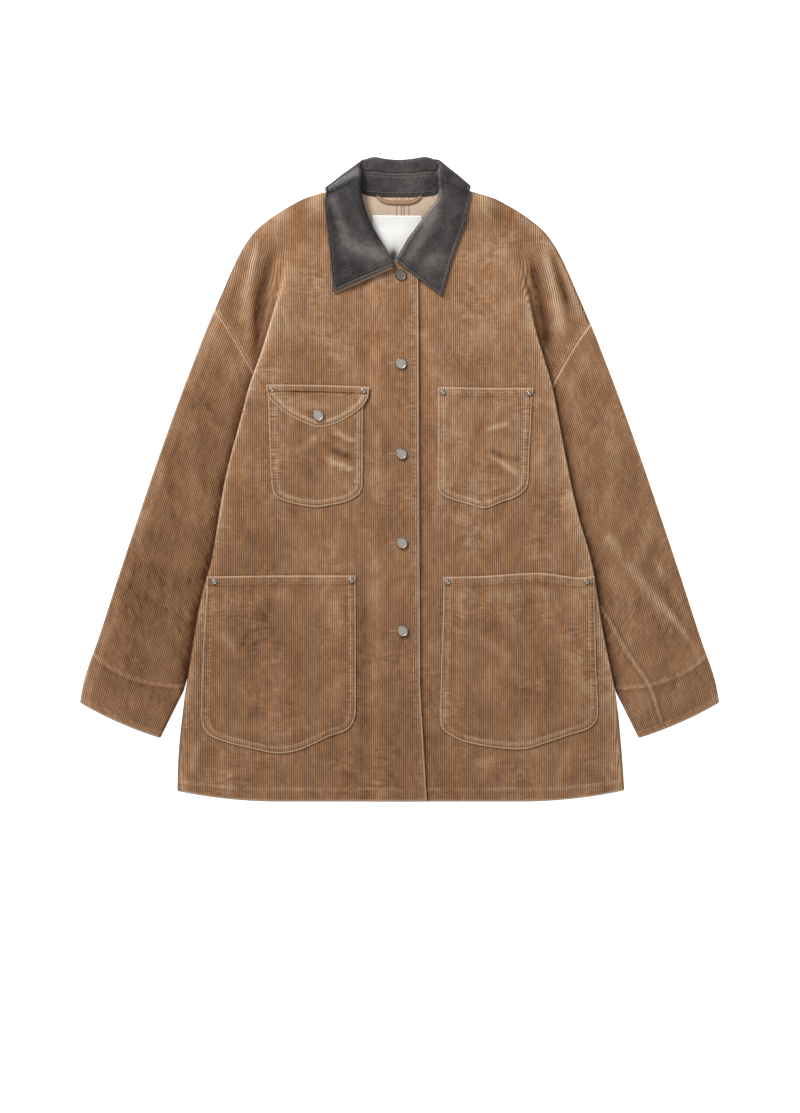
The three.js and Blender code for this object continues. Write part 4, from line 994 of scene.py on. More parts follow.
right, left = halves["right"], halves["left"]
for side, half in halves.items():
    sign, name = half["sign"], f"front{side.title()}"
    y = bodyLevels(half)[:, None]
    out, z = frontSections(half, front, y)
    half["sections"] = out
    grid = np.stack([sign * out, y + hemLift(out, y), z], axis=-1)
    foldAt, turned, fromEdge = half["foldOut"](y), half["turn"](y), out - half["neckOut"](y)
    outsideFold, aboveArm, aboveHem = out - foldAt, y > half["armhole"]["lowY"], y - hemY + 0 * out

    # beyond the side fold the cloth turns with it, so its ribs run along the fold
    acrossRun = arcLength(grid, 1) + half["neckOut"](y)
    alongFold = half["foldOut"](np.array(front["turnsFrom"])) + out - foldAt
    unturned = 1 - softStep(turned, 0.3, 2.0)
    pastFold = softStep(out, foldAt - 2 - 12 * unturned, foldAt + 5 + 20 * unturned)
    acrossRun = acrossRun + (alongFold - acrossRun) * (softStep(front["turnsFrom"] - y, 0, 30) * pastFold)

    # distances to the sewn rows and the worn edges
    sewnOn = [plan for plan in [*patches.values(), flap] if plan["half"] == side]
    away, run = nearRows(grid[..., 0], grid[..., 1], [plan["ring"] for plan in sewnOn])
    tops = [np.stack([plan["x"][0], plan["y"][0]], axis=-1)[::4] for plan in sewnOn]
    pocketShadowAway = np.minimum(away, nearRows(grid[..., 0], grid[..., 1], tops)[0] + 0.3)
    placket = np.abs(fromEdge - sewing["placketRow"]) + np.where(fromEdge > 40, nowhere, 0)
    onPlacket = (placket < away) & (y < sewing["placketTop"]) & (sign < 0)
    away, run = np.where(onPlacket, placket, away), np.where(onPlacket, y + 0 * out, run)
    seamIn = np.where(half["atArmhole"](y), half["seamOut"](y) - out, nowhere)
    armAway = np.minimum(np.abs(seamIn - 0.6), np.abs(seamIn - (7.6 if sign > 0 else 0.6)))
    armAway = armAway + np.where(out < foldAt, nowhere, 0)
    hemAway = np.abs(y - hemY - sewing["hemRow"]) + 0.5 + 0 * out
    away = np.minimum(np.minimum(away, armAway), hemAway)
    foldCrest = np.abs(outsideFold + 0.8) * 1.2 + 5 * (1 - softStep(turned, 0.4, 2.0))
    rim = np.minimum(aboveHem, foldCrest)

    # painted highlight on the side rising to the fold; painted shadow beside the pockets' and flap's outlines
    # and beside the edge of the other front's lap, and painted shade just beyond the fold
    tone = toneField(sign * out, y) + 0.26 * softStep(out, foldAt - 26, foldAt) * softStep(turned, 0.3, 2.0)
    beyond = sign * out + right["neckOut"](y) if sign > 0 else 0 * out - nowhere
    tone = banded(tone, (pocketShadowAway, 0, 2.2, -0.5), (beyond, 1.2, 3.0, -0.85, beyond > -3),
                  (outsideFold, 3, 8, -0.6, softStep(turned, 0.5, 2.6) * (outsideFold > 0)))
    # painted shade on the wing beyond the fold, which turns away from the light
    onWing = softStep(turned, 0.3, 1.4) * aboveArm
    tone = tone + half["wingShade"] * softStep(outsideFold, -2, 6) * onWing
    tone = banded(tone, (y - hemY - sewing["hemRow"], 1.2, 1.1, 0.42, 0.6 + 0.4 * np.sin(out / 17)),
                  (seamIn, 1.5, 2.4, 0.3, outsideFold > 0))
    if sign < 0:
        lowSide = 1 - softStep(y, -110, -50)
        rim = np.minimum(rim, np.where(y < sewing["placketTop"], fromEdge, nowhere))
        # low on this side the worn rim at the fold gives way to a painted shadow line along the fold's edge
        rim = rim + 3 * lowSide * (np.abs(outsideFold) < 4)
        tone = banded(tone, (outsideFold, 0, 1.5, -1.1, lowSide))
    # the shoulder rolls over to the back: a painted highlight where its nap catches the light, and painted
    # shade at its very edge
    insideEdge = (outlineOut(y) - out) / np.hypot(1, (outlineOut(y - 4) - outlineOut(y + 4)) / 8)
    tone = banded(tone, (insideEdge, 8, 5, 0.3, aboveArm),
                  (np.maximum(insideEdge, 0), 0, 1.8, -0.7, aboveArm))
    fields = {"rowAway": away, "rowRun": run, "rimAway": rim, "tone": tone, "gather": 0.5 * onPlacket,
              "crest": paintedReliefShade(grid, front["crestSpread"], front["crestFull"])}
    half["made"] = clothShell(name, grid, thick, [corduroy, inside], (acrossRun * sign, grid[..., 1]), fields)
    finishPiece(half["made"], "corduroy", f"front_{side}")
    keepSurface(name, half["made"])
print("fronts made")

# backs
back = {"columns": 44, "seamSteps": [0, 0.5, 1.1, 1.7, 2.3, 3.2, 4.6, 6.0, 6.9, 7.6, 8.3, 9.4, 11.5]}
backNeck = table("y out", [(376, 58.5), (364, 56.5), (360, 50), (357, 34), (355, 4)])
backNeckOut = straightThrough(backNeck, "y", "out")
for side, half in halves.items():
    sign = half["sign"]
    y = bodyLevels(half)[:, None]
    end = half["sections"][:, -1:]
    outer = np.where(half["atArmhole"](y), end, end + thick / 2)
    middle = sign * seamX + cloth["seamGap"] / 2
    inner = np.where(y > backNeck[-1]["y"], backNeckOut(y), middle)
    out = crowded(inner, outer, back["seamSteps"], 0.5, back["columns"])
    x, fromSeam = sign * out, np.abs(out - middle)
    grid = np.stack([x, y + hemLift(out, y), backMid + neckLift(x, y)], axis=-1)
    away = np.minimum(np.abs(fromSeam - 1.6), np.abs(fromSeam - 7.5))
    fields = {"rowAway": away, "rowRun": y + 0 * out, "rimAway": np.minimum(fromSeam, y - hemY), "crest": 0.0,
              "tone": 0.0}
    half["back"] = clothShell(f"back{side.title()}", grid, thick, [inside, corduroy], (x, grid[..., 1]),
                              fields)
    finishPiece(half["back"], "corduroy_inside", f"back_{side}")
print("backs made")

# sleeves: flattened tubes
sleeve = {"rings": 118, "top": 60, "bottom": 26, "side": 6, "headShare": 0.25, "shownFrom": 2, "shownTo": 14,
          "loosenBy": 0.06, "hemFrom": 0.93, "hemLoss": 0.7, "endRow": 0.9895, "unrolled": 0.86,
          "edgeGlow": {"right": 0.5, "left": 0.12}}


def sleeveShares():
    even = np.linspace(0, 1, sleeve["rings"])
    sewn = np.arange(cuff["rowInner"] - 0.006, cuff["rowOuter"] + 0.02, 0.0024)
    ends = np.array([0.987, sleeve["endRow"], 0.992, 0.9965])
    own = np.concatenate([sewn, ends])
    kept = even[np.abs(even[:, None] - own[None, :]).min(axis=1) > 0.0018]
    return np.sort(np.concatenate([kept, own]))[:, None]


def cuffRow(t):
    # how far down the sleeve the turned cuff is sewn: t is 0 at the inner edge and 1 at the outer one
    return cuff["rowInner"] + (cuff["rowOuter"] - cuff["rowInner"]) * t + cuff["rowBow"] * 4 * t * (1 - t)


def sleeveRings(half, share):
    sign, arm = half["sign"], half["armhole"]
    outerY = arm["topY"] + (cuff["outerY"] - arm["topY"]) * share
    innerY = arm["lowY"] + (sleeveInner["cuffY"] - arm["lowY"]) * share
    outerX = outlineOut(outerY) - thick / 2
    innerX = half["innerOut"](innerY) + thick * 0.39 + cloth["restGap"] * softStep(share, 0, 0.05)
    acrossX, acrossY = outerX - innerX, outerY - innerY
    width = np.hypot(acrossX, acrossY)
    headBow = np.maximum(0, 1 - share / sleeve["headShare"]) ** 2
    low, radius = backMid, (frontMid - backMid) / 2

    def place(distance, z):
        t = distance / width
        clear = cloth["seamGap"] + cloth["restGap"] * headBow * (1 + t)
        bow = arm["bow"] * 4 * t * (1 - t) * headBow
        hemBow = cuff["bow"] * 4 * t * (1 - t) * softStep(share, 0.8, 1)
        x = innerX + acrossX * t + acrossY / width * (clear + hemBow) + bow
        y = innerY + acrossY * t - acrossX / width * (clear + hemBow)
        return np.stack([sign * x, y, z + 0 * x], axis=-1)

    ring = [place(radius + (width - 2 * radius) * j / sleeve["bottom"],
                  low) for j in range(sleeve["bottom"] + 1)]
    angles = [math.pi * j / (sleeve["side"] + 1) for j in range(1, sleeve["side"] + 1)]
    ring += [place(width - radius + radius * math.sin(a), low + radius * (1 - math.cos(a))) for a in angles]
    for j in range(sleeve["top"] + 1):
        distance = width - radius - (width - 2 * radius) * j / sleeve["top"]
        spot = place(distance, 0)
        x, y = spot[..., 0], spot[..., 1]
        shown = x * sign - half["foldOut"](np.maximum(y, hemY))
        rounded = softStep(shown, 0, crown["inRun"]) * softStep(width - distance, 0, crown["outRun"])
        waves = softWaves(x, y, 11, 46, 0.16)
        creased = (creaseHeight(sleeveCreases, x, y) + waves) * softStep(shown, sleeve["shownFrom"],
                                                                         sleeve["shownTo"])
        loose = softStep(share, 0,
                         sleeve["loosenBy"]) * (1 - sleeve["hemLoss"] * softStep(share, sleeve["hemFrom"], 1))
        spot[..., 2] = frontMid + (crown["height"] * rounded + creased) * loose
        ring.append(spot)
    ring += [place(radius - radius * math.sin(a), frontMid - radius * (1 - math.cos(a))) for a in angles]
    return np.concatenate(ring, axis=1)


sleeveFell = [(250.6, -158.8), (263.1, -178.8), (275.6, -202.5), (288.1, -222.5), (300.6, -240),
              (310.6, -255),
              (316.9, -271.3), (323.1, -291.3), (326.9, -303.8)]
# where the left sleeve's nap is brushed light along its ribs
sleeveStreaks = table("line width amount", [
    ([(262, -75), (279, -101), (303, -130), (327, -156)], 6, 0.42),
    ([(319, -101), (340, -136), (359, -166)], 5, 0.28), ([(262, -120), (285, -160), (300, -190)], 9, 0.16),
])
for side, half in halves.items():
    share = sleeveShares()
    grid = sleeveRings(half, share)
    x, y, z = (grid[..., k] for k in range(3))
    along, around = arcLength(grid, 0), arcLength(grid, 1)
    sideAt = sleeve["bottom"] + sleeve["side"]
    topColumns = slice(sideAt + 1, grid.shape[1] - sleeve["side"])
    edgeAt = np.abs(share - sleeve["endRow"]).argmin()
    inner, outer = grid[:, :1], grid[:, sleeve["bottom"]:sleeve["bottom"] + 1]
    acrossShare = ((grid - inner) * (outer - inner)).sum(axis=2) / ((outer - inner) ** 2).sum(axis=2)
    belowRow = (share - cuffRow(np.clip(acrossShare, 0, 1))) * along[-1:]
    away = np.minimum(np.abs(belowRow), np.abs(along - along[edgeAt]))
    away = np.minimum(away, np.where(share < 0.05, np.abs(along - 1.5), nowhere))
    fromEnd = np.minimum(along[-1:] - along, along)
    crest = np.zeros(grid.shape[:2])
    crest[:, topColumns] = paintedReliefShade(grid[:, topColumns], 4, 1.1)
    stepDown = cuff["hemRelief"] * softStep(belowRow, 0.4, 2.4) * softStep(z, backMid, frontMid)
    outerEdge = np.abs(around - around[:, sleeve["bottom"] + sleeve["side"] // 2][:, None])
    beside = x * half["sign"] - half["foldOut"](np.maximum(y, hemY))
    # painted shadow beside the body's fold, with light and dark lines along the cuff's sewn row and its end
    tone = banded(toneField(x, y), (np.maximum(beside, 0), 0, 9, -0.95), (belowRow, 4.5, 2.6, -0.26),
                  (belowRow, -0.4, 1.0, 0.5), (fromEnd, 5.4, 0.9, 0.45), (fromEnd, 2.8, 1.0, -0.3))
    tone = tone + sleeve["edgeGlow"][side] * (1 - softStep(outerEdge, 11, 19))
    if side == "left":
        fromFell = nearLine(sleeveFell, x, y)[0] + np.where(z < frontMid - 1, nowhere, 0)
        tone = banded(tone, (fromFell, 0, 0.9, 0.75), (fromFell, 4, 2.2, -0.35))
        for row in sleeveStreaks:
            tone = banded(tone, (nearLine(row["line"], x, y)[0], 0, row["width"], row["amount"]))
        away = np.minimum(away, fromFell)
    fields = {"rowAway": away, "rowRun": around, "rimAway": np.minimum(fromEnd, outerEdge + 1.2),
              "crest": crest,
              "tone": tone}
    widest = around[:, -1:] / around[0, -1]
    half["sleeve"] = clothShell(f"sleeve{side.title()}", grid, thick, [corduroy, inside],
                                (around / widest * sleeve["unrolled"], along), fields, closed=True,
                                relief=stepDown)
    finishPiece(half["sleeve"], "corduroy", f"sleeve_{side}")
    keepSurface(f"sleeve{side.title()}", half["sleeve"])
print("sleeves made")

# pockets and flap on the fronts
onPanel = thick / 2 + cloth["restGap"] + cloth["pocketCloth"] / 2


def patchShell(plan, standoff, node):
    half = halves[plan["half"]]
    x, y, out, band = plan["x"], plan["y"], plan["out"], plan["band"]
    edge, run = nearLine(plan["ring"], x, y)
    topEdge = plan["y"][:1] - y
    belowBand = topEdge - band
    soft = softStep(edge, 0, 26) * softStep(topEdge, 0, 30)
    swell = plan["puff"] * soft + creaseHeight(pocketCreases, x, y) * softStep(edge, 2, 9)
    z = half["panelHeight"](out, y) + standoff + swell
    z = z - 0.3 * (1 - softStep(edge, 0, 3))
    grid = np.stack([x, y + hemLift(out, y), z], axis=-1)
    relief = np.where(topEdge < band, 0.7 * (1 - softStep(topEdge, band - 1.2, band)), 0) if band else 0 * x
    away = np.minimum(np.abs(edge - sewing["edgeRow"]), np.abs(edge - sewing["innerRow"]))
    # each side is gathered by its sewing in its own measure
    gather = plan["gathered"][0] * (1 - softStep(x, x.min() + 11, x.min() + 19))
    gather = gather + plan["gathered"][1] * softStep(x, x.max() - 17, x.max() - 11)
    gather = gather * softStep(y, y.min() + 16, y.min() + 36)
    # a light border inside the edge, a light line within it and a pressed one outside
    border = softStep(edge, 2.6, 4) * (1 - softStep(edge, 6.6, 8.4))
    line, pressedIn = hill(edge, 8, 0.9), hill(edge, 2.5, 1.0)
    if band:
        onBand = np.abs(belowBand + 1.2)
        run, away = np.where(onBand < away, out, run), np.minimum(away, onBand)
        border = np.maximum(border, 0.8 * hill(topEdge, band / 2, 3.2))
        line = np.where(topEdge < band, 0, line) + 0.8 * hill(belowBand, -0.6, 0.8)
        pressedIn = pressedIn + 0.8 * hill(belowBand, 1.4, 1.2)
    tone = toneField(x, y) + plan["border"] * border + 0.5 * line - 0.45 * pressedIn
    if plan is flap:
        tone = banded(tone, (topEdge, 8.1, 1.0, -1.1), (topEdge, 10.2, 1.0, 0.5))
    fields = {"rowAway": away, "rowRun": run, "rimAway": np.minimum(edge, topEdge), "tone": tone,
              "gather": gather,
              "crest": paintedReliefShade(grid, 5, 1.0) * softStep(edge, 3, 12)}
    plan["made"] = clothShell(camel(node), grid, cloth["pocketCloth"], [corduroy], (x, grid[..., 1]), fields,
                              relief=relief)
    finishPiece(plan["made"], "corduroy", node)
    keepSurface(camel(node), plan["made"])


for node, plan in patches.items():
    patchShell(plan, onPanel, node)
patchShell(flap, onPanel + cloth["pocketCloth"] + cloth["restGap"], "pocket_flap")
print("pockets made")

# collar: stations round the neck, from the seam over the roll to the edge
collar = {"standShare": 0.66, "seam": 0.8, "roll": 3.1, "leafBend": 1.25, "bodyMid": 6.6, "wrapReach": 5.9,
          "between": 7, "standSteps": 12, "rollSteps": 14, "leafSteps": 26}
wrapUp = {"seamUnder": 0.3, "seamOver": 4.1}
stationColumns = "neckX neckY rollX rollY edgeX edgeY crest seat"
collarPlan = {
    "right": {
        "sign": -1,
        "front": table(stationColumns, [
            (12, 263.5, 6, 266.5, 82.5, 233.5, 6.3, 0.5), (33, 287, 21, 291.5, 85.8, 268, 6.8, 2),
            (48.5, 306.5, 32, 310.5, 88.6, 297, 6.6, 0), (59.5, 328, 41.5, 331, 91.6, 322, 7, 0),
            (62.5, 350, 47, 352, 93.5, 346, 7.8, 1.1), (60, 362.5, 48.5, 372, 92.4, 353.5, 7.5, 4.4)]),
        "wrap": table("turn " + stationColumns, [
            (90, 58, 367, 48.4, 383, 91.8, 357.6, 6.6, 0), (45, 57, 370, 47.4, 388.5, 90, 358.4, 4.0, 0),
            (0, 56.2, 371, 45, 393.3, 88, 358.8, 1.6, 0), (-45, 54, 368, 42.4, 397.4, 86, 358, 1.8, 0),
            (-90, 50, 362, 40.6, 399.4, 80, 355, 2.4, 0)]),
        "back": table(stationColumns, [
            (46, 357.5, 40, 399.8, 74, 352, 2.4, 0), (34, 354, 32, 401.8, 48, 347, 2.4, 0),
            (17, 353, 17, 399.4, 23, 346, 2.4, 0)]),
    },
    "left": {
        "sign": 1,
        "front": table(stationColumns, [
            (2, 268, -4.5, 272.5, 52, 229, 5.6, 0), (30, 289.5, 9, 296, 66, 278, 6.2, 0),
            (49.5, 311.5, 23, 315, 77, 308, 6.6, 0), (61, 335, 38, 336.5, 84, 334, 7, 0),
            (63.5, 349.5, 48, 350, 87.3, 349, 7.8, 1), (60, 363, 48.8, 371, 88, 356.5, 7.5, 4.4)]),
        "wrap": table("turn " + stationColumns, [
            (90, 58.5, 367, 47.8, 383, 87.4, 360.2, 6.8, 0), (45, 57.4, 370, 47.6, 388.5, 86, 361, 5.0, 0),
            (0, 56.7, 371, 46.4, 393, 84.5, 361.3, 3.0, 0), (-45, 54, 368, 44, 397.2, 82, 360, 2.6, 0),
            (-90, 50, 362, 42.2, 399.2, 77, 356, 2.4, 0)]),
        "back": table(stationColumns, [
            (46, 357.5, 42, 399.4, 72, 352, 2.4, 0), (34, 354, 33, 401.8, 48, 347, 2.4, 0),
            (17, 353, 17, 399.4, 23, 346, 2.4, 0)]),
    },
}
backMiddle = dict(zip(stationColumns.split(), (0, 353, 0, 398.4, 0, 346, 2.4, 0)))


def clearTop(x, y):
    tops = [backMid + float(neckLift(x, y))]
    for half in halves.values():
        out = x * half["sign"]
        if out >= half["neckOut"](y):
            tops.append(float(half["panelHeight"](np.array(out), np.array(y))))
    return max(tops) + thick / 2


def readyStation(sign, row, turn, wrapped=False):
    angle = math.radians(turn)
    seam, roll, edge = (np.array([sign * row[part + "X"], row[part + "Y"], collar["bodyMid"]], float)
                        for part in ("neck", "roll", "edge"))
    inward = (roll - edge) / np.linalg.norm(roll - edge)
    outward = np.array([-inward[1] * -sign, inward[0] * -sign, 0]) * math.cos(angle)
    outward = outward + np.array([0, 0, math.sin(angle)])
    stack = cloth["restGap"] + cloth["underCloth"] + cloth["seamGap"] + cloth["leather"] / 2
    share = (turn + 90) / 180
    seamUp = wrapUp["seamUnder"] + (wrapUp["seamOver"] - wrapUp["seamUnder"]) * share
    edgeUp = collar["wrapReach"]
    if turn == 90 and not wrapped:
        seamTop, edgeTop = (clearTop(at[0], at[1]) for at in (seam, edge))
        seamUp = seamTop + cloth["restGap"] + cloth["leather"] / 2 - collar["bodyMid"] + row["seat"]
        edgeUp = edgeTop + stack - collar["bodyMid"]
    return dict(seam=seam, roll=roll, edge=edge, inward=inward, outward=outward, seamUp=seamUp, edgeUp=edgeUp,
                crest=row["crest"])


def collarHalf(plan):
    stations = [readyStation(plan["sign"], row, 90) for row in plan["front"]]
    stations += [readyStation(plan["sign"], row, row["turn"], True) for row in plan["wrap"]]
    return stations + [readyStation(plan["sign"], row, -90) for row in plan["back"]]


closeEnds = [0.7, 1.8, 2.6, 3.2, 3.8, 5.2]


def stationLine(station):
    inward, outward, radius = station["inward"], station["outward"], collar["roll"]
    middle = station["roll"] - inward * radius + outward * station["crest"]
    top = middle - outward * radius
    start = station["seam"] + outward * station["seamUp"]
    standTop = start + (top - start) * collar["standShare"]
    stand = [start + (standTop - start) * j / collar["standSteps"] for j in range(collar["standSteps"] + 1)]
    rise = collar["seam"] / np.linalg.norm(top - standTop)
    leaf = [standTop + (top - standTop) * (rise + (1 - rise) * j / 4) for j in range(5)]
    for j in range(1, collar["rollSteps"] + 1):
        angle = -math.pi / 2 + math.pi * j / collar["rollSteps"]
        leaf.append(middle + inward * radius * math.cos(angle) + outward * radius * math.sin(angle))
    leafStart = leaf[-1]
    leafEnd = station["edge"] + outward * station["edgeUp"]
    under = []
    for share in spread(np.linalg.norm(leafEnd - leafStart), collar["leafSteps"], [0, *closeEnds])[1:]:
        point = leafStart + (leafEnd - leafStart) * share
        startUp = (leafStart - station["edge"]) @ outward
        height = station["edgeUp"] + (startUp - station["edgeUp"]) * (1 - share) ** collar["leafBend"]
        point = point + outward * (height - (point - station["edge"]) @ outward)
        leaf.append(point)
        under.append(point - outward * ((cloth["leather"] + cloth["underCloth"]) / 2 + cloth["seamGap"]))
    return np.array(stand), np.array(leaf), np.array(under)


stations = collarHalf(collarPlan["right"]) + [readyStation(1, backMiddle, -90)]
stations += collarHalf(collarPlan["left"])[::-1]
lines = [stationLine(station) for station in stations]


def between(rows, ends=()):
    # a soft surface through the stations, closer together at both ends where the sewing is
    rows = np.array(rows)
    gaps = np.linalg.norm(np.diff(rows, axis=0), axis=2).mean(axis=1)
    at = np.concatenate([[0], np.cumsum(np.maximum(gaps, 0.5))])
    slope = np.gradient(rows, at, axis=0)
    steps = [np.linspace(a, b, collar["between"] + 1)[:-1] for a, b in zip(at[:-1], at[1:])]
    own = np.concatenate([at[0] + np.array(ends), at[-1] - np.array(ends)])
    fine = np.sort(np.unique(np.concatenate([*steps, at[-1:], own])))
    i = np.clip(np.searchsorted(at, fine, side="right") - 1, 0, len(at) - 2)
    span = (at[i + 1] - at[i])[:, None, None]
    return hermite((fine - at[i])[:, None, None] / span, span, rows, slope, i)
standGrid = between([line[0] for line in lines])
leafGrid = between([line[1] for line in lines], closeEnds)
underGrid = between([line[2] for line in lines], closeEnds)
# the tan underside peeks out below the front edge of the right leaf
peek = {"by": 2.2, "over": 14}
ahead = underGrid[0] - underGrid[4]
ahead = ahead / np.linalg.norm(ahead, axis=1, keepdims=True)
fromFront = arcLength(underGrid, 0)
underGrid = underGrid + ahead * (peek["by"] * np.clip(1 - fromFront / peek["over"], 0, 1))[..., None]


# soft lights along the bends of the leather, and darker ones where it turns away
leatherGlow = table("line width amount", [
    ([(-83, 349), (-74, 322), (-66, 300), (-50, 288), (-24, 278)], 7, 0.4),
    ([(-70, 298), (-56, 284)], 12, 0.16), ([(50, 356), (42, 334), (34, 318)], 5, 0.42),
    ([(42, 334), (30, 306), (15, 281)], 8, 0.5), ([(46, 276), (30, 264)], 9, 0.34),
    ([(66, 340), (58, 290), (50, 250)], 14, 0.12),
    ([(-30, 383), (0, 380), (34, 382)], 7, 0.1), ([(-80, 376), (-62, 386)], 8, 0.1),
    ([(-46, 350), (-42, 330), (-24, 298)], 7, -0.3), ([(-90, 320), (-84, 262)], 8, -0.15),
    ([(-52, 366), (-48, 352)], 9, -0.2), ([(60, 372), (52, 362)], 8, -0.12),
    ([(0, 366), (20, 364)], 8, 0.08),
])


def leatherTone(x, y):
    # painted shade over the leaf on the -x side, which faces the key light
    tone = 0.07 - 0.09 * softStep(-x, 20, 60)
    for row in leatherGlow:
        tone = banded(tone, (nearLine(row["line"], x, y)[0], 0, row["width"], row["amount"]))
    return tone


def leatherFields(grid, isLeaf):
    across, along = arcLength(grid, 1), arcLength(grid, 0)
    toEdge, toFront = across[:, -1:] - across, np.minimum(along, along[-1:] - along)
    rim = np.minimum(toEdge, toFront)
    if isLeaf:
        away, run = np.abs(rim - sewing["leatherRow"]), np.where(toEdge < toFront, along, across)
    else:
        away, run = np.minimum(np.abs(across - 2.4), np.abs(toEdge - 2.0)), along
    return {"rowAway": away, "rowRun": run, "rimAway": rim, "crest": paintedReliefShade(grid, 4, 1.2),
            "tone": leatherTone(grid[..., 0], grid[..., 1])}, (across, along)


def leatherWaves(grid):
    # uneven on top, and flat where it lies under the back
    return (softWaves(grid[..., 0], grid[..., 1], 21, 30, 0.28) + 0.28) * softStep(grid[..., 2], 2, 6)


standFields, standWay = leatherFields(standGrid, False)
collarStand = clothShell("collarStand", standGrid, cloth["leather"], [leather], standWay, standFields)
finishPiece(collarStand, "collar_leather", "collar_stand")
leafFields, leafWay = leatherFields(leafGrid, True)
collarFall = clothShell("collarFall", leafGrid, cloth["leather"], [leather], leafWay, leafFields,
                        relief=leatherWaves(leafGrid))
finishPiece(collarFall, "collar_leather", "collar_fall")
underFields, underWay = leatherFields(underGrid, True)
underCollar = clothShell("underCollar", underGrid, cloth["underCloth"], [corduroy], underWay, underFields)
finishPiece(underCollar, "corduroy", "under_collar")
keepSurface("collarFall", collarFall)
keepSurface("collarStand", collarStand)
print("collar made")

# label and hanger loop inside the neck
label = {"x1": -34, "x2": 28, "topY": 329.5, "lowY": 266, "thick": 0.6, "rows": 44, "columns": 44}
loop = {"x1": -28, "x2": 27, "topY": 356, "dipY": 348, "width": 5.5, "thick": 1.0, "steps": 60}


def onBack(x, y, standoff):
    return thick + neckLift(x, y) + standoff


across = np.linspace(0, 1, label["columns"] + 1)[None, :]
down = np.linspace(0, 1, label["rows"] + 1)[:, None]
x = label["x1"] + (label["x2"] - label["x1"]) * across + 0 * down
y = label["topY"] - 0.8 * across + (label["lowY"] - label["topY"]) * down
z = onBack(x, y, cloth["restGap"] + label["thick"] / 2) + 0.2 * np.sin(down * 4 + across * 2) * down
grid = np.stack([x, y, z], axis=-1)
# painted shadow on the label under the collar's V, darkest at its point and greyer over the lower half
labelVShadow = -0.95 * np.exp(-((x + 7.4) / 5) ** 2 - ((y - 280) / 9) ** 2) - 0.25 * np.exp(-((y - 276) / 22) ** 2)
fields = {"rowAway": nowhere, "rowRun": 0.0, "rimAway": nowhere, "crest": 0.0, "tone": labelVShadow}
neckLabel = clothShell("neckLabel", grid, label["thick"], [labelCloth], (x, y), fields)
finishPiece(neckLabel, "label", "neck_label")

share = np.linspace(0, 1, loop["steps"] + 1)[:, None]
width = np.linspace(0, loop["width"], 7)[None, :]
dip = 1 - np.abs(2 * share - 1) ** 4
x = loop["x1"] + (loop["x2"] - loop["x1"]) * share + 0 * width
y = loop["topY"] + (loop["dipY"] - loop["topY"]) * dip - width
arch = 0.5 * np.sin(math.pi * width / loop["width"])
grid = np.stack([x, y, onBack(x, y, cloth["restGap"] + loop["thick"] / 2) + arch], axis=-1)
rim = np.minimum(width, loop["width"] - width) + 0 * share
fields = {"rowAway": np.abs(rim - 1.2), "rowRun": x, "rimAway": rim, "crest": 0.2, "tone": 0.0}
hangerLoop = clothShell("hangerLoop", grid, loop["thick"], [loopCloth], (y, x), fields)
finishPiece(hangerLoop, "corduroy_inside", "hanger_loop")
print("label and loop made")


# Geometry Nodes: rows of stitches, and studs set on their seats
def startTree(name, inputs):
    tree = bpy.data.node_groups.new(name, "GeometryNodeTree")
    for key, kind in {"Geometry": "Geometry", **inputs}.items():
        tree.interface.new_socket(key, in_out="INPUT", socket_type="NodeSocket" + kind)
    tree.interface.new_socket("Geometry", in_out="OUTPUT", socket_type="NodeSocketGeometry")
    return tree, tree.nodes.new("NodeGroupInput").outputs, tree.nodes.new("NodeGroupOutput").inputs


def treeStep(tree, kind, inputs=None, **settings):
    return addNode(tree, "GeometryNode" + kind, inputs, **settings).outputs[0]


def finishTree(tree, placed, material, result):
    real = treeStep(tree, "RealizeInstances", {"Geometry": placed})
    smooth = treeStep(tree, "SetShadeSmooth", {"Geometry": real})
    join(tree, treeStep(tree, "SetMaterial", {"Geometry": smooth, "Material": material}), result["Geometry"])


tree, given, result = startTree("stitchRow", {
    "Stitch Pitch": "Float", "Stitch Length": "Float", "Thread Radius": "Float", "Turn": "Float",
    "Wander": "Float",
    "Seed": "Int", "Thread": "Material"})
row = treeStep(tree, "MeshToCurve", {"Mesh": given["Geometry"]})
spaced = treeStep(tree, "ResampleCurve", {"Curve": row, "Length": given["Stitch Pitch"]}, mode="LENGTH")
jitter = addNode(tree, "FunctionNodeRandomValue", {"Seed": given["Seed"]}, data_type="FLOAT_VECTOR")
for place, reach in enumerate((times(tree, given["Wander"], -1.0), given["Wander"])):
    join(tree, combined(tree, reach, reach, 0.0), jitter.inputs[place])
moved = treeStep(tree, "SetPosition", {"Geometry": spaced, "Offset": jitter.outputs[0]})
tangent = treeStep(tree, "InputTangent")
turned = addNode(tree, "ShaderNodeVectorRotate", {"Vector": tangent, "Angle": given["Turn"]},
                 rotation_type="Z_AXIS").outputs[0]
aim = addNode(tree, "FunctionNodeAlignRotationToVector", {"Vector": turned}, axis="Z").outputs[0]
ball = treeStep(tree, "MeshUVSphere", {"Segments": 6, "Rings": 4, "Radius": 1.0})
size = combined(tree, given["Thread Radius"], given["Thread Radius"],
                times(tree, given["Stitch Length"], 0.5))
placed = treeStep(tree, "InstanceOnPoints", {"Points": moved, "Instance": ball, "Rotation": aim,
                                             "Scale": size})
finishTree(tree, placed, given["Thread"], result)

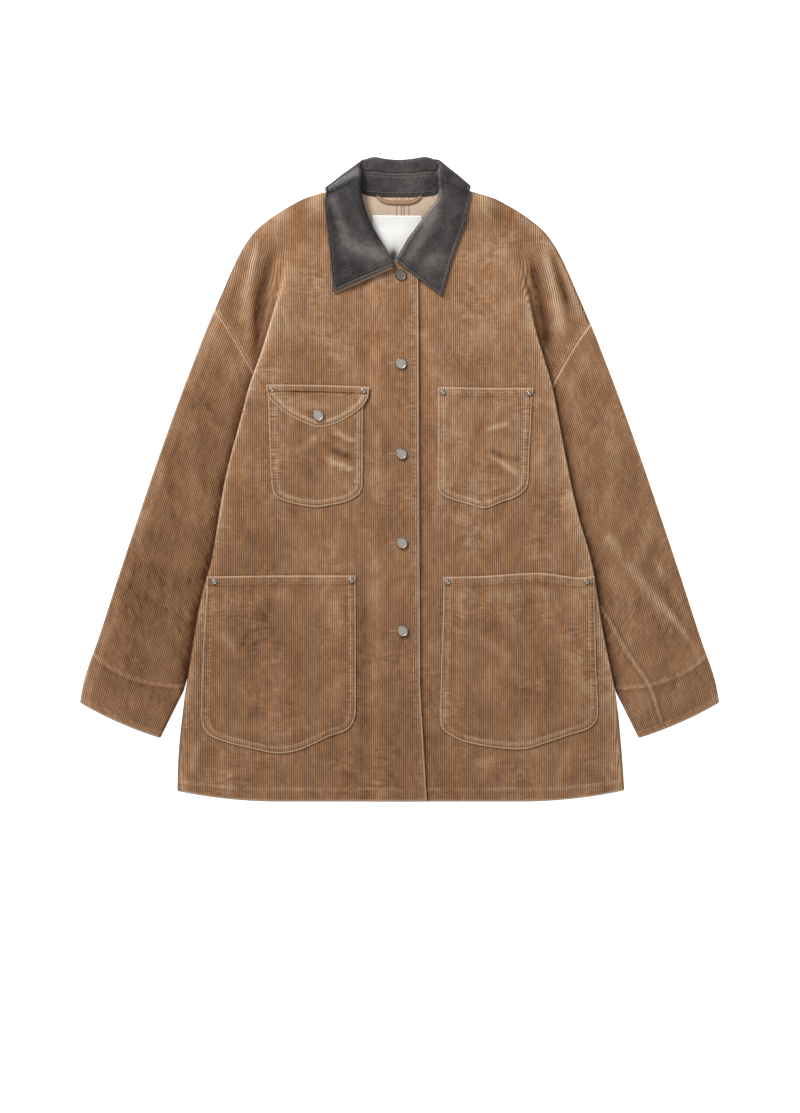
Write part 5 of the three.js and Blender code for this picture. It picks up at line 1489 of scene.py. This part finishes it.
tree, given, result = startTree("studSet", {
    "Stud": "Object", "Turn Spread": "Float", "Seed": "Int", "Metal": "Material"})
stud = addNode(tree, "GeometryNodeObjectInfo", {"Object": given["Stud"]}).outputs["Geometry"]
turnBy = addNode(tree, "FunctionNodeRandomValue", {"Seed": given["Seed"]}, data_type="FLOAT")
join(tree, 0.0, turnBy.inputs[2])
join(tree, given["Turn Spread"], turnBy.inputs[3])
points = treeStep(tree, "MeshToPoints", {"Mesh": given["Geometry"]})
placed = treeStep(tree, "InstanceOnPoints", {
    "Points": points, "Instance": stud, "Rotation": combined(tree, 0.0, 0.0, turnBy.outputs[1])})
finishTree(tree, placed, given["Metal"], result)


def grow(name, points, edges, treeName, values):
    # runs a tree on the points and keeps the result as a plain mesh
    mesh = bpy.data.meshes.new(name + "Path")
    mesh.from_pydata(points, edges, [])
    path = bpy.data.objects.new(name + "Path", mesh)
    bpy.context.scene.collection.objects.link(path)
    modifier = path.modifiers.new("grow", "NODES")
    tree = bpy.data.node_groups[treeName]
    modifier.node_group = tree
    sockets = {item.name: item.identifier for item in tree.interface.items_tree if item.in_out == "INPUT"}
    for key, value in values.items():
        modifier[sockets[key]] = value
    bpy.context.view_layer.update()
    grown = bpy.data.meshes.new_from_object(path.evaluated_get(bpy.context.evaluated_depsgraph_get()))
    path.modifiers.clear()
    bpy.data.objects.remove(path)
    made = bpy.data.objects.new(name, grown)
    made.data.name = name
    bpy.context.scene.collection.objects.link(made)
    return made


def drape(line, surface, sink, step=2.5):
    # lays a line of points on a surface
    line = np.array(line, float)
    length = np.concatenate([[0], np.cumsum(np.hypot(*np.diff(line, axis=0).T))])
    at = np.linspace(0, length[-1], max(2, int(length[-1] / step) + 1))
    laid = []
    for x, y in zip(np.interp(at, length, line[:, 0]), np.interp(at, length, line[:, 1])):
        hit = trees[surface].ray_cast(Vector((x * mm, y * mm, 0.06)), Vector((0, 0, -1)))[0]
        if hit:
            laid.append((x * mm, y * mm, hit.z - sink * mm))
    return laid


def sewRows(name, rows, slot, thread, pitch, length, radius, wander, seed, turn=0.0):
    points, edges = [], []
    for row in rows:
        first = len(points)
        points += row
        edges += [(k, k + 1) for k in range(first, len(points) - 1)]
    finishPiece(grow(name, points, edges, "stitchRow", {
        "Stitch Pitch": pitch, "Stitch Length": length, "Thread Radius": radius, "Turn": turn,
        "Wander": wander,
        "Seed": seed, "Thread": thread}), slot)


def insetRing(plan, inset):
    # a row of sewing inside a patch's outline
    ring = plan["ring"]
    centre = np.array([plan["x"].mean(), plan["y"].mean()])
    ahead = np.gradient(ring, axis=0)
    aside = np.stack([-ahead[:, 1], ahead[:, 0]], axis=-1)
    aside = aside / np.maximum(np.linalg.norm(aside, axis=1, keepdims=True), 1e-9)
    inwards = ((centre - ring) * aside).sum(axis=1)
    aside = aside * np.where(np.median(np.sign(inwards)) < 0, -1, 1)
    moved = ring + aside * inset
    return moved[nearLine(ring, moved[:, 0], moved[:, 1])[0] > inset * 0.93]


clothRows = []


def sewCloth(xs, ys, surface):
    clothRows.append(drape(np.stack([xs, ys], axis=-1), surface, 0.1))


for node, plan in [*patches.items(), ("pocket_flap", flap)]:
    for inset in (sewing["edgeRow"], sewing["innerRow"]):
        row = insetRing(plan, inset)
        if plan is not flap:
            row = row[row[:, 1] < plan["y"][0].min() - plan["band"]]
        sewCloth(row[:, 0], row[:, 1], camel(node))
    if plan["band"]:
        sewCloth(plan["x"][0, 2:-2], plan["y"][0, 2:-2] - plan["band"] + 1.2, camel(node))
sewCloth(flap["x"][0, 2:-2], flap["y"][0, 2:-2] - 6.5, "pocketFlap")
placketY = np.linspace(258, hemY + 3, 240)
sewCloth(-(right["neckOut"](placketY) + sewing["placketRow"]), placketY, "frontRight")
for side, half in halves.items():
    surface, sign, arm = f"front{side.title()}", half["sign"], half["armhole"]
    outs = np.linspace(-33 if half is right else 34, 276, 160)
    level = hemY + sewing["hemRow"]
    sewCloth(outs * sign, level + hemLift(outs, level), surface)
    ys = np.linspace(arm["topY"] - 1, arm["lowY"] + 48, 60)
    for inset in (1.6, 7.6):
        seam = half["seamOut"](ys) - inset
        keep = seam > half["foldOut"](ys) + 1
        sewCloth((seam * sign)[keep], ys[keep], surface)
for side, half in halves.items():
    share = np.linspace(cuff["rowInner"] - 0.005, sleeve["endRow"], 60)[:, None]
    rings = sleeveRings(half, share)
    topColumns = range(sleeve["bottom"] + sleeve["side"] + 1, rings.shape[1] - sleeve["side"])
    sewnAt = [np.abs(share[:, 0] - cuffRow(t)).argmin() for t in np.linspace(1, 0, len(topColumns))]
    for row in (rings[sewnAt, topColumns, :2], rings[-1, topColumns, :2]):
        row = row[(row[:, 0] * half["sign"]) > half["foldOut"](np.maximum(row[:, 1], hemY)) + 2]
        sewCloth(row[:, 0], row[:, 1], f"sleeve{side.title()}")
sewCloth(*zip(*sleeveFell), "sleeveLeft")
sewRows("clothStitches", clothRows, "corduroy", sewingThread, 0.0031, 0.0024, 0.00022, 0.0001, 3)

leafEdge, leafFront = leafWay[0][:, -1:] - leafWay[0], leafWay[1][:, -1]
column = np.abs(leafEdge - sewing["leatherRow"]).argmin(axis=1)
edgeRow = leafGrid[np.arange(len(leafGrid)), column]
collarRows = [drape(part[part[:, 1] < 350][:, :2], "collarFall", 0.05) for part in (edgeRow[:60],
                                                                                    edgeRow[-60:])]
for frontAt in (sewing["leatherRow"], leafFront[-1] - sewing["leatherRow"]):
    collarRows.append(drape(leafGrid[np.abs(leafFront - frontAt).argmin(), 22:, :2], "collarFall", 0.05))
for column in (2, collar["standSteps"] - 2):
    row = standGrid[:, column, :2]
    row = row[(row[:, 1] > 350) & (np.abs(row[:, 0]) < 46)]
    collarRows.append(drape(row, "collarStand", 0.05))
sewRows("collarStitches", collarRows, "collar_leather", leatherThread, 0.0034, 0.0025, 0.00024, 0.00005, 8)

buttonNodes = [*(f"button_{k}" for k in range(1, 6)), "button_flap"]
rivetNodes = [f"rivet_{k}" for k in range(1, 9)]
holeRows = []
for node in buttonNodes[:5]:
    x, y = (value / mm for value in boxMiddle(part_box(node)))
    for drop in (-0.7, 0.7):
        holeRows.append(drape([(x - 15.5, y + drop), (x - 5, y + drop)], "frontRight", -0.15, step=1.5))
sewRows("buttonholes", holeRows, "corduroy", sewingThread, 0.0006, 0.0016, 0.00035, 0.00008, 2, math.pi / 2)
print("sewing made")

# buttons and rivets
button = {"sides": 48, "profile": table("radius height worn", [
    (0, 0, 0.2), (6.2, 0, 0.0), (6.9, 0.5, 0.0), (7.0, 1.3, 0.0), (6.8, 2.1, 0.15), (6.4, 2.6, 0.5),
    (6.0, 2.55, 0.6),
    (5.7, 2.3, 0.4), (5.4, 2.25, 0.75), (4.2, 2.25, 0.85), (2.5, 2.3, 0.9), (1.0, 2.3, 0.9), (0, 2.3, 0.9)])}
rivet = {"sides": 28, "profile": table("radius height worn", [
    (0, 0, 0.1), (3.1, 0, 0.0), (3.2, 0.4, 0.0), (3.0, 0.9, 0.3), (2.5, 1.1, 0.75), (2.1, 1.05, 0.6),
    (1.8, 0.6, 0.0),
    (1.2, 0.4, 0.0), (0.95, 0.7, 0.6), (0.6, 0.9, 1.0), (0, 0.95, 1.0)])}


def turnedStud(name, plan):
    points, faces, worn = [], [], []
    inner = plan["profile"][1:-1]
    for row in inner:
        for k in range(plan["sides"]):
            angle = 2 * math.pi * k / plan["sides"]
            points.append((row["radius"] * math.cos(angle), row["radius"] * math.sin(angle), row["height"]))
            worn.append(row["worn"])
    foot, head = len(points), len(points) + 1
    points += [(0, 0, plan["profile"][0]["height"]), (0, 0, plan["profile"][-1]["height"])]
    worn += [plan["profile"][0]["worn"], plan["profile"][-1]["worn"]]
    sides, rows = plan["sides"], len(inner)
    for k in range(sides):
        after = (k + 1) % sides
        faces.append((foot, after, k))
        faces.append((head, (rows - 1) * sides + k, (rows - 1) * sides + after))
        for i in range(rows - 1):
            faces.append((i * sides + k, i * sides + after, (i + 1) * sides + after, (i + 1) * sides + k))
    made = addMesh(name, points, faces)
    addField(made.data, "worn", worn)
    return made


def setStuds(name, plan, nodes, metal, slot, seed):
    template = turnedStud(name + "Template", plan)
    seats = [(*boxMiddle(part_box(node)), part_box(node)[0][2]) for node in nodes]
    made = grow(name, seats, [], "studSet", {"Stud": template, "Turn Spread": 6.2, "Seed": seed,
                                             "Metal": metal})
    bpy.data.objects.remove(template)
    return finishPiece(made, slot, *nodes)


buttons = setStuds("buttons", button, buttonNodes, buttonMetal, "button_metal", 5)
# the top button has kept its dark finish
topLow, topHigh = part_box("button_1")
wornData = buttons.data.attributes["worn"].data
for point in buttons.data.vertices:
    if topLow[1] < point.co.y < topHigh[1]:
        wornData[point.index].value *= 0.3
setStuds("rivets", rivet, rivetNodes, rivetMetal, "rivet_metal", 9)
print("buttons and rivets set")


# floor, light and camera
studio = {"world": 0.55, "key": 135, "keySize": 1.0, "keyPlace": (-1.7, 2.1, 1.8), "fill": 8,
          "fillPlace": (1.9, -0.4, 2.4), "floorShine": 1.0}
bpy.ops.mesh.primitive_plane_add(size=9, location=(0, 0, -0.0002))
floor = bpy.context.active_object
floor.name = "floor"
floorMade, floorTree, floorShader = startMaterial("paleFloor", {
    "Base Color": (0.55, 0.55, 0.55, 1), "Roughness": 0.9, "Specular IOR Level": 0.1,
    "Emission Color": (1, 1, 1, 1)})
# the floor glows for the camera alone: it looks white and lights no edge from below
seen = addNode(floorTree, "ShaderNodeLightPath").outputs["Is Camera Ray"]
join(floorTree, calc(floorTree, "MULTIPLY", seen, studio["floorShine"]),
     floorShader.inputs["Emission Strength"])
floor.data.materials.append(floorMade)

world = bpy.data.worlds.new("studio")
bpy.context.scene.world = world
world.use_nodes = True
world.node_tree.nodes["Background"].inputs["Color"].default_value = (1, 1, 1, 1)
world.node_tree.nodes["Background"].inputs["Strength"].default_value = studio["world"]


def addLight(name, place, power, size):
    data = bpy.data.lights.new(name, "AREA")
    data.energy, data.size = power, size
    lamp = bpy.data.objects.new(name, data)
    lamp.location = place
    lamp.rotation_euler = (Vector((0, 0, 0)) - Vector(place)).to_track_quat("-Z", "Y").to_euler()
    bpy.context.scene.collection.objects.link(lamp)


addLight("keyLight", studio["keyPlace"], studio["key"], studio["keySize"])
addLight("fillLight", studio["fillPlace"], studio["fill"], 2.2)

photo = {"middle": (0.0006, -0.0969), "away": 4.0, "sensor": 36, "frameHigh": 1.3913}
camera = bpy.data.cameras.new("photoCamera")
camera.type = "PERSP"
camera.sensor_width = photo["sensor"]
camera.lens = photo["sensor"] * photo["away"] / photo["frameHigh"]
camera.clip_end = 50
eye = bpy.data.objects.new("photoCamera", camera)
eye.location = (*photo["middle"], photo["away"] + 0.004)
bpy.context.scene.collection.objects.link(eye)
bpy.context.scene.camera = eye
bpy.context.scene.view_settings.view_transform = "Standard"
bpy.context.scene.view_settings.look = "None"
bpy.context.scene.view_settings.exposure = 0.0
print("studio ready")
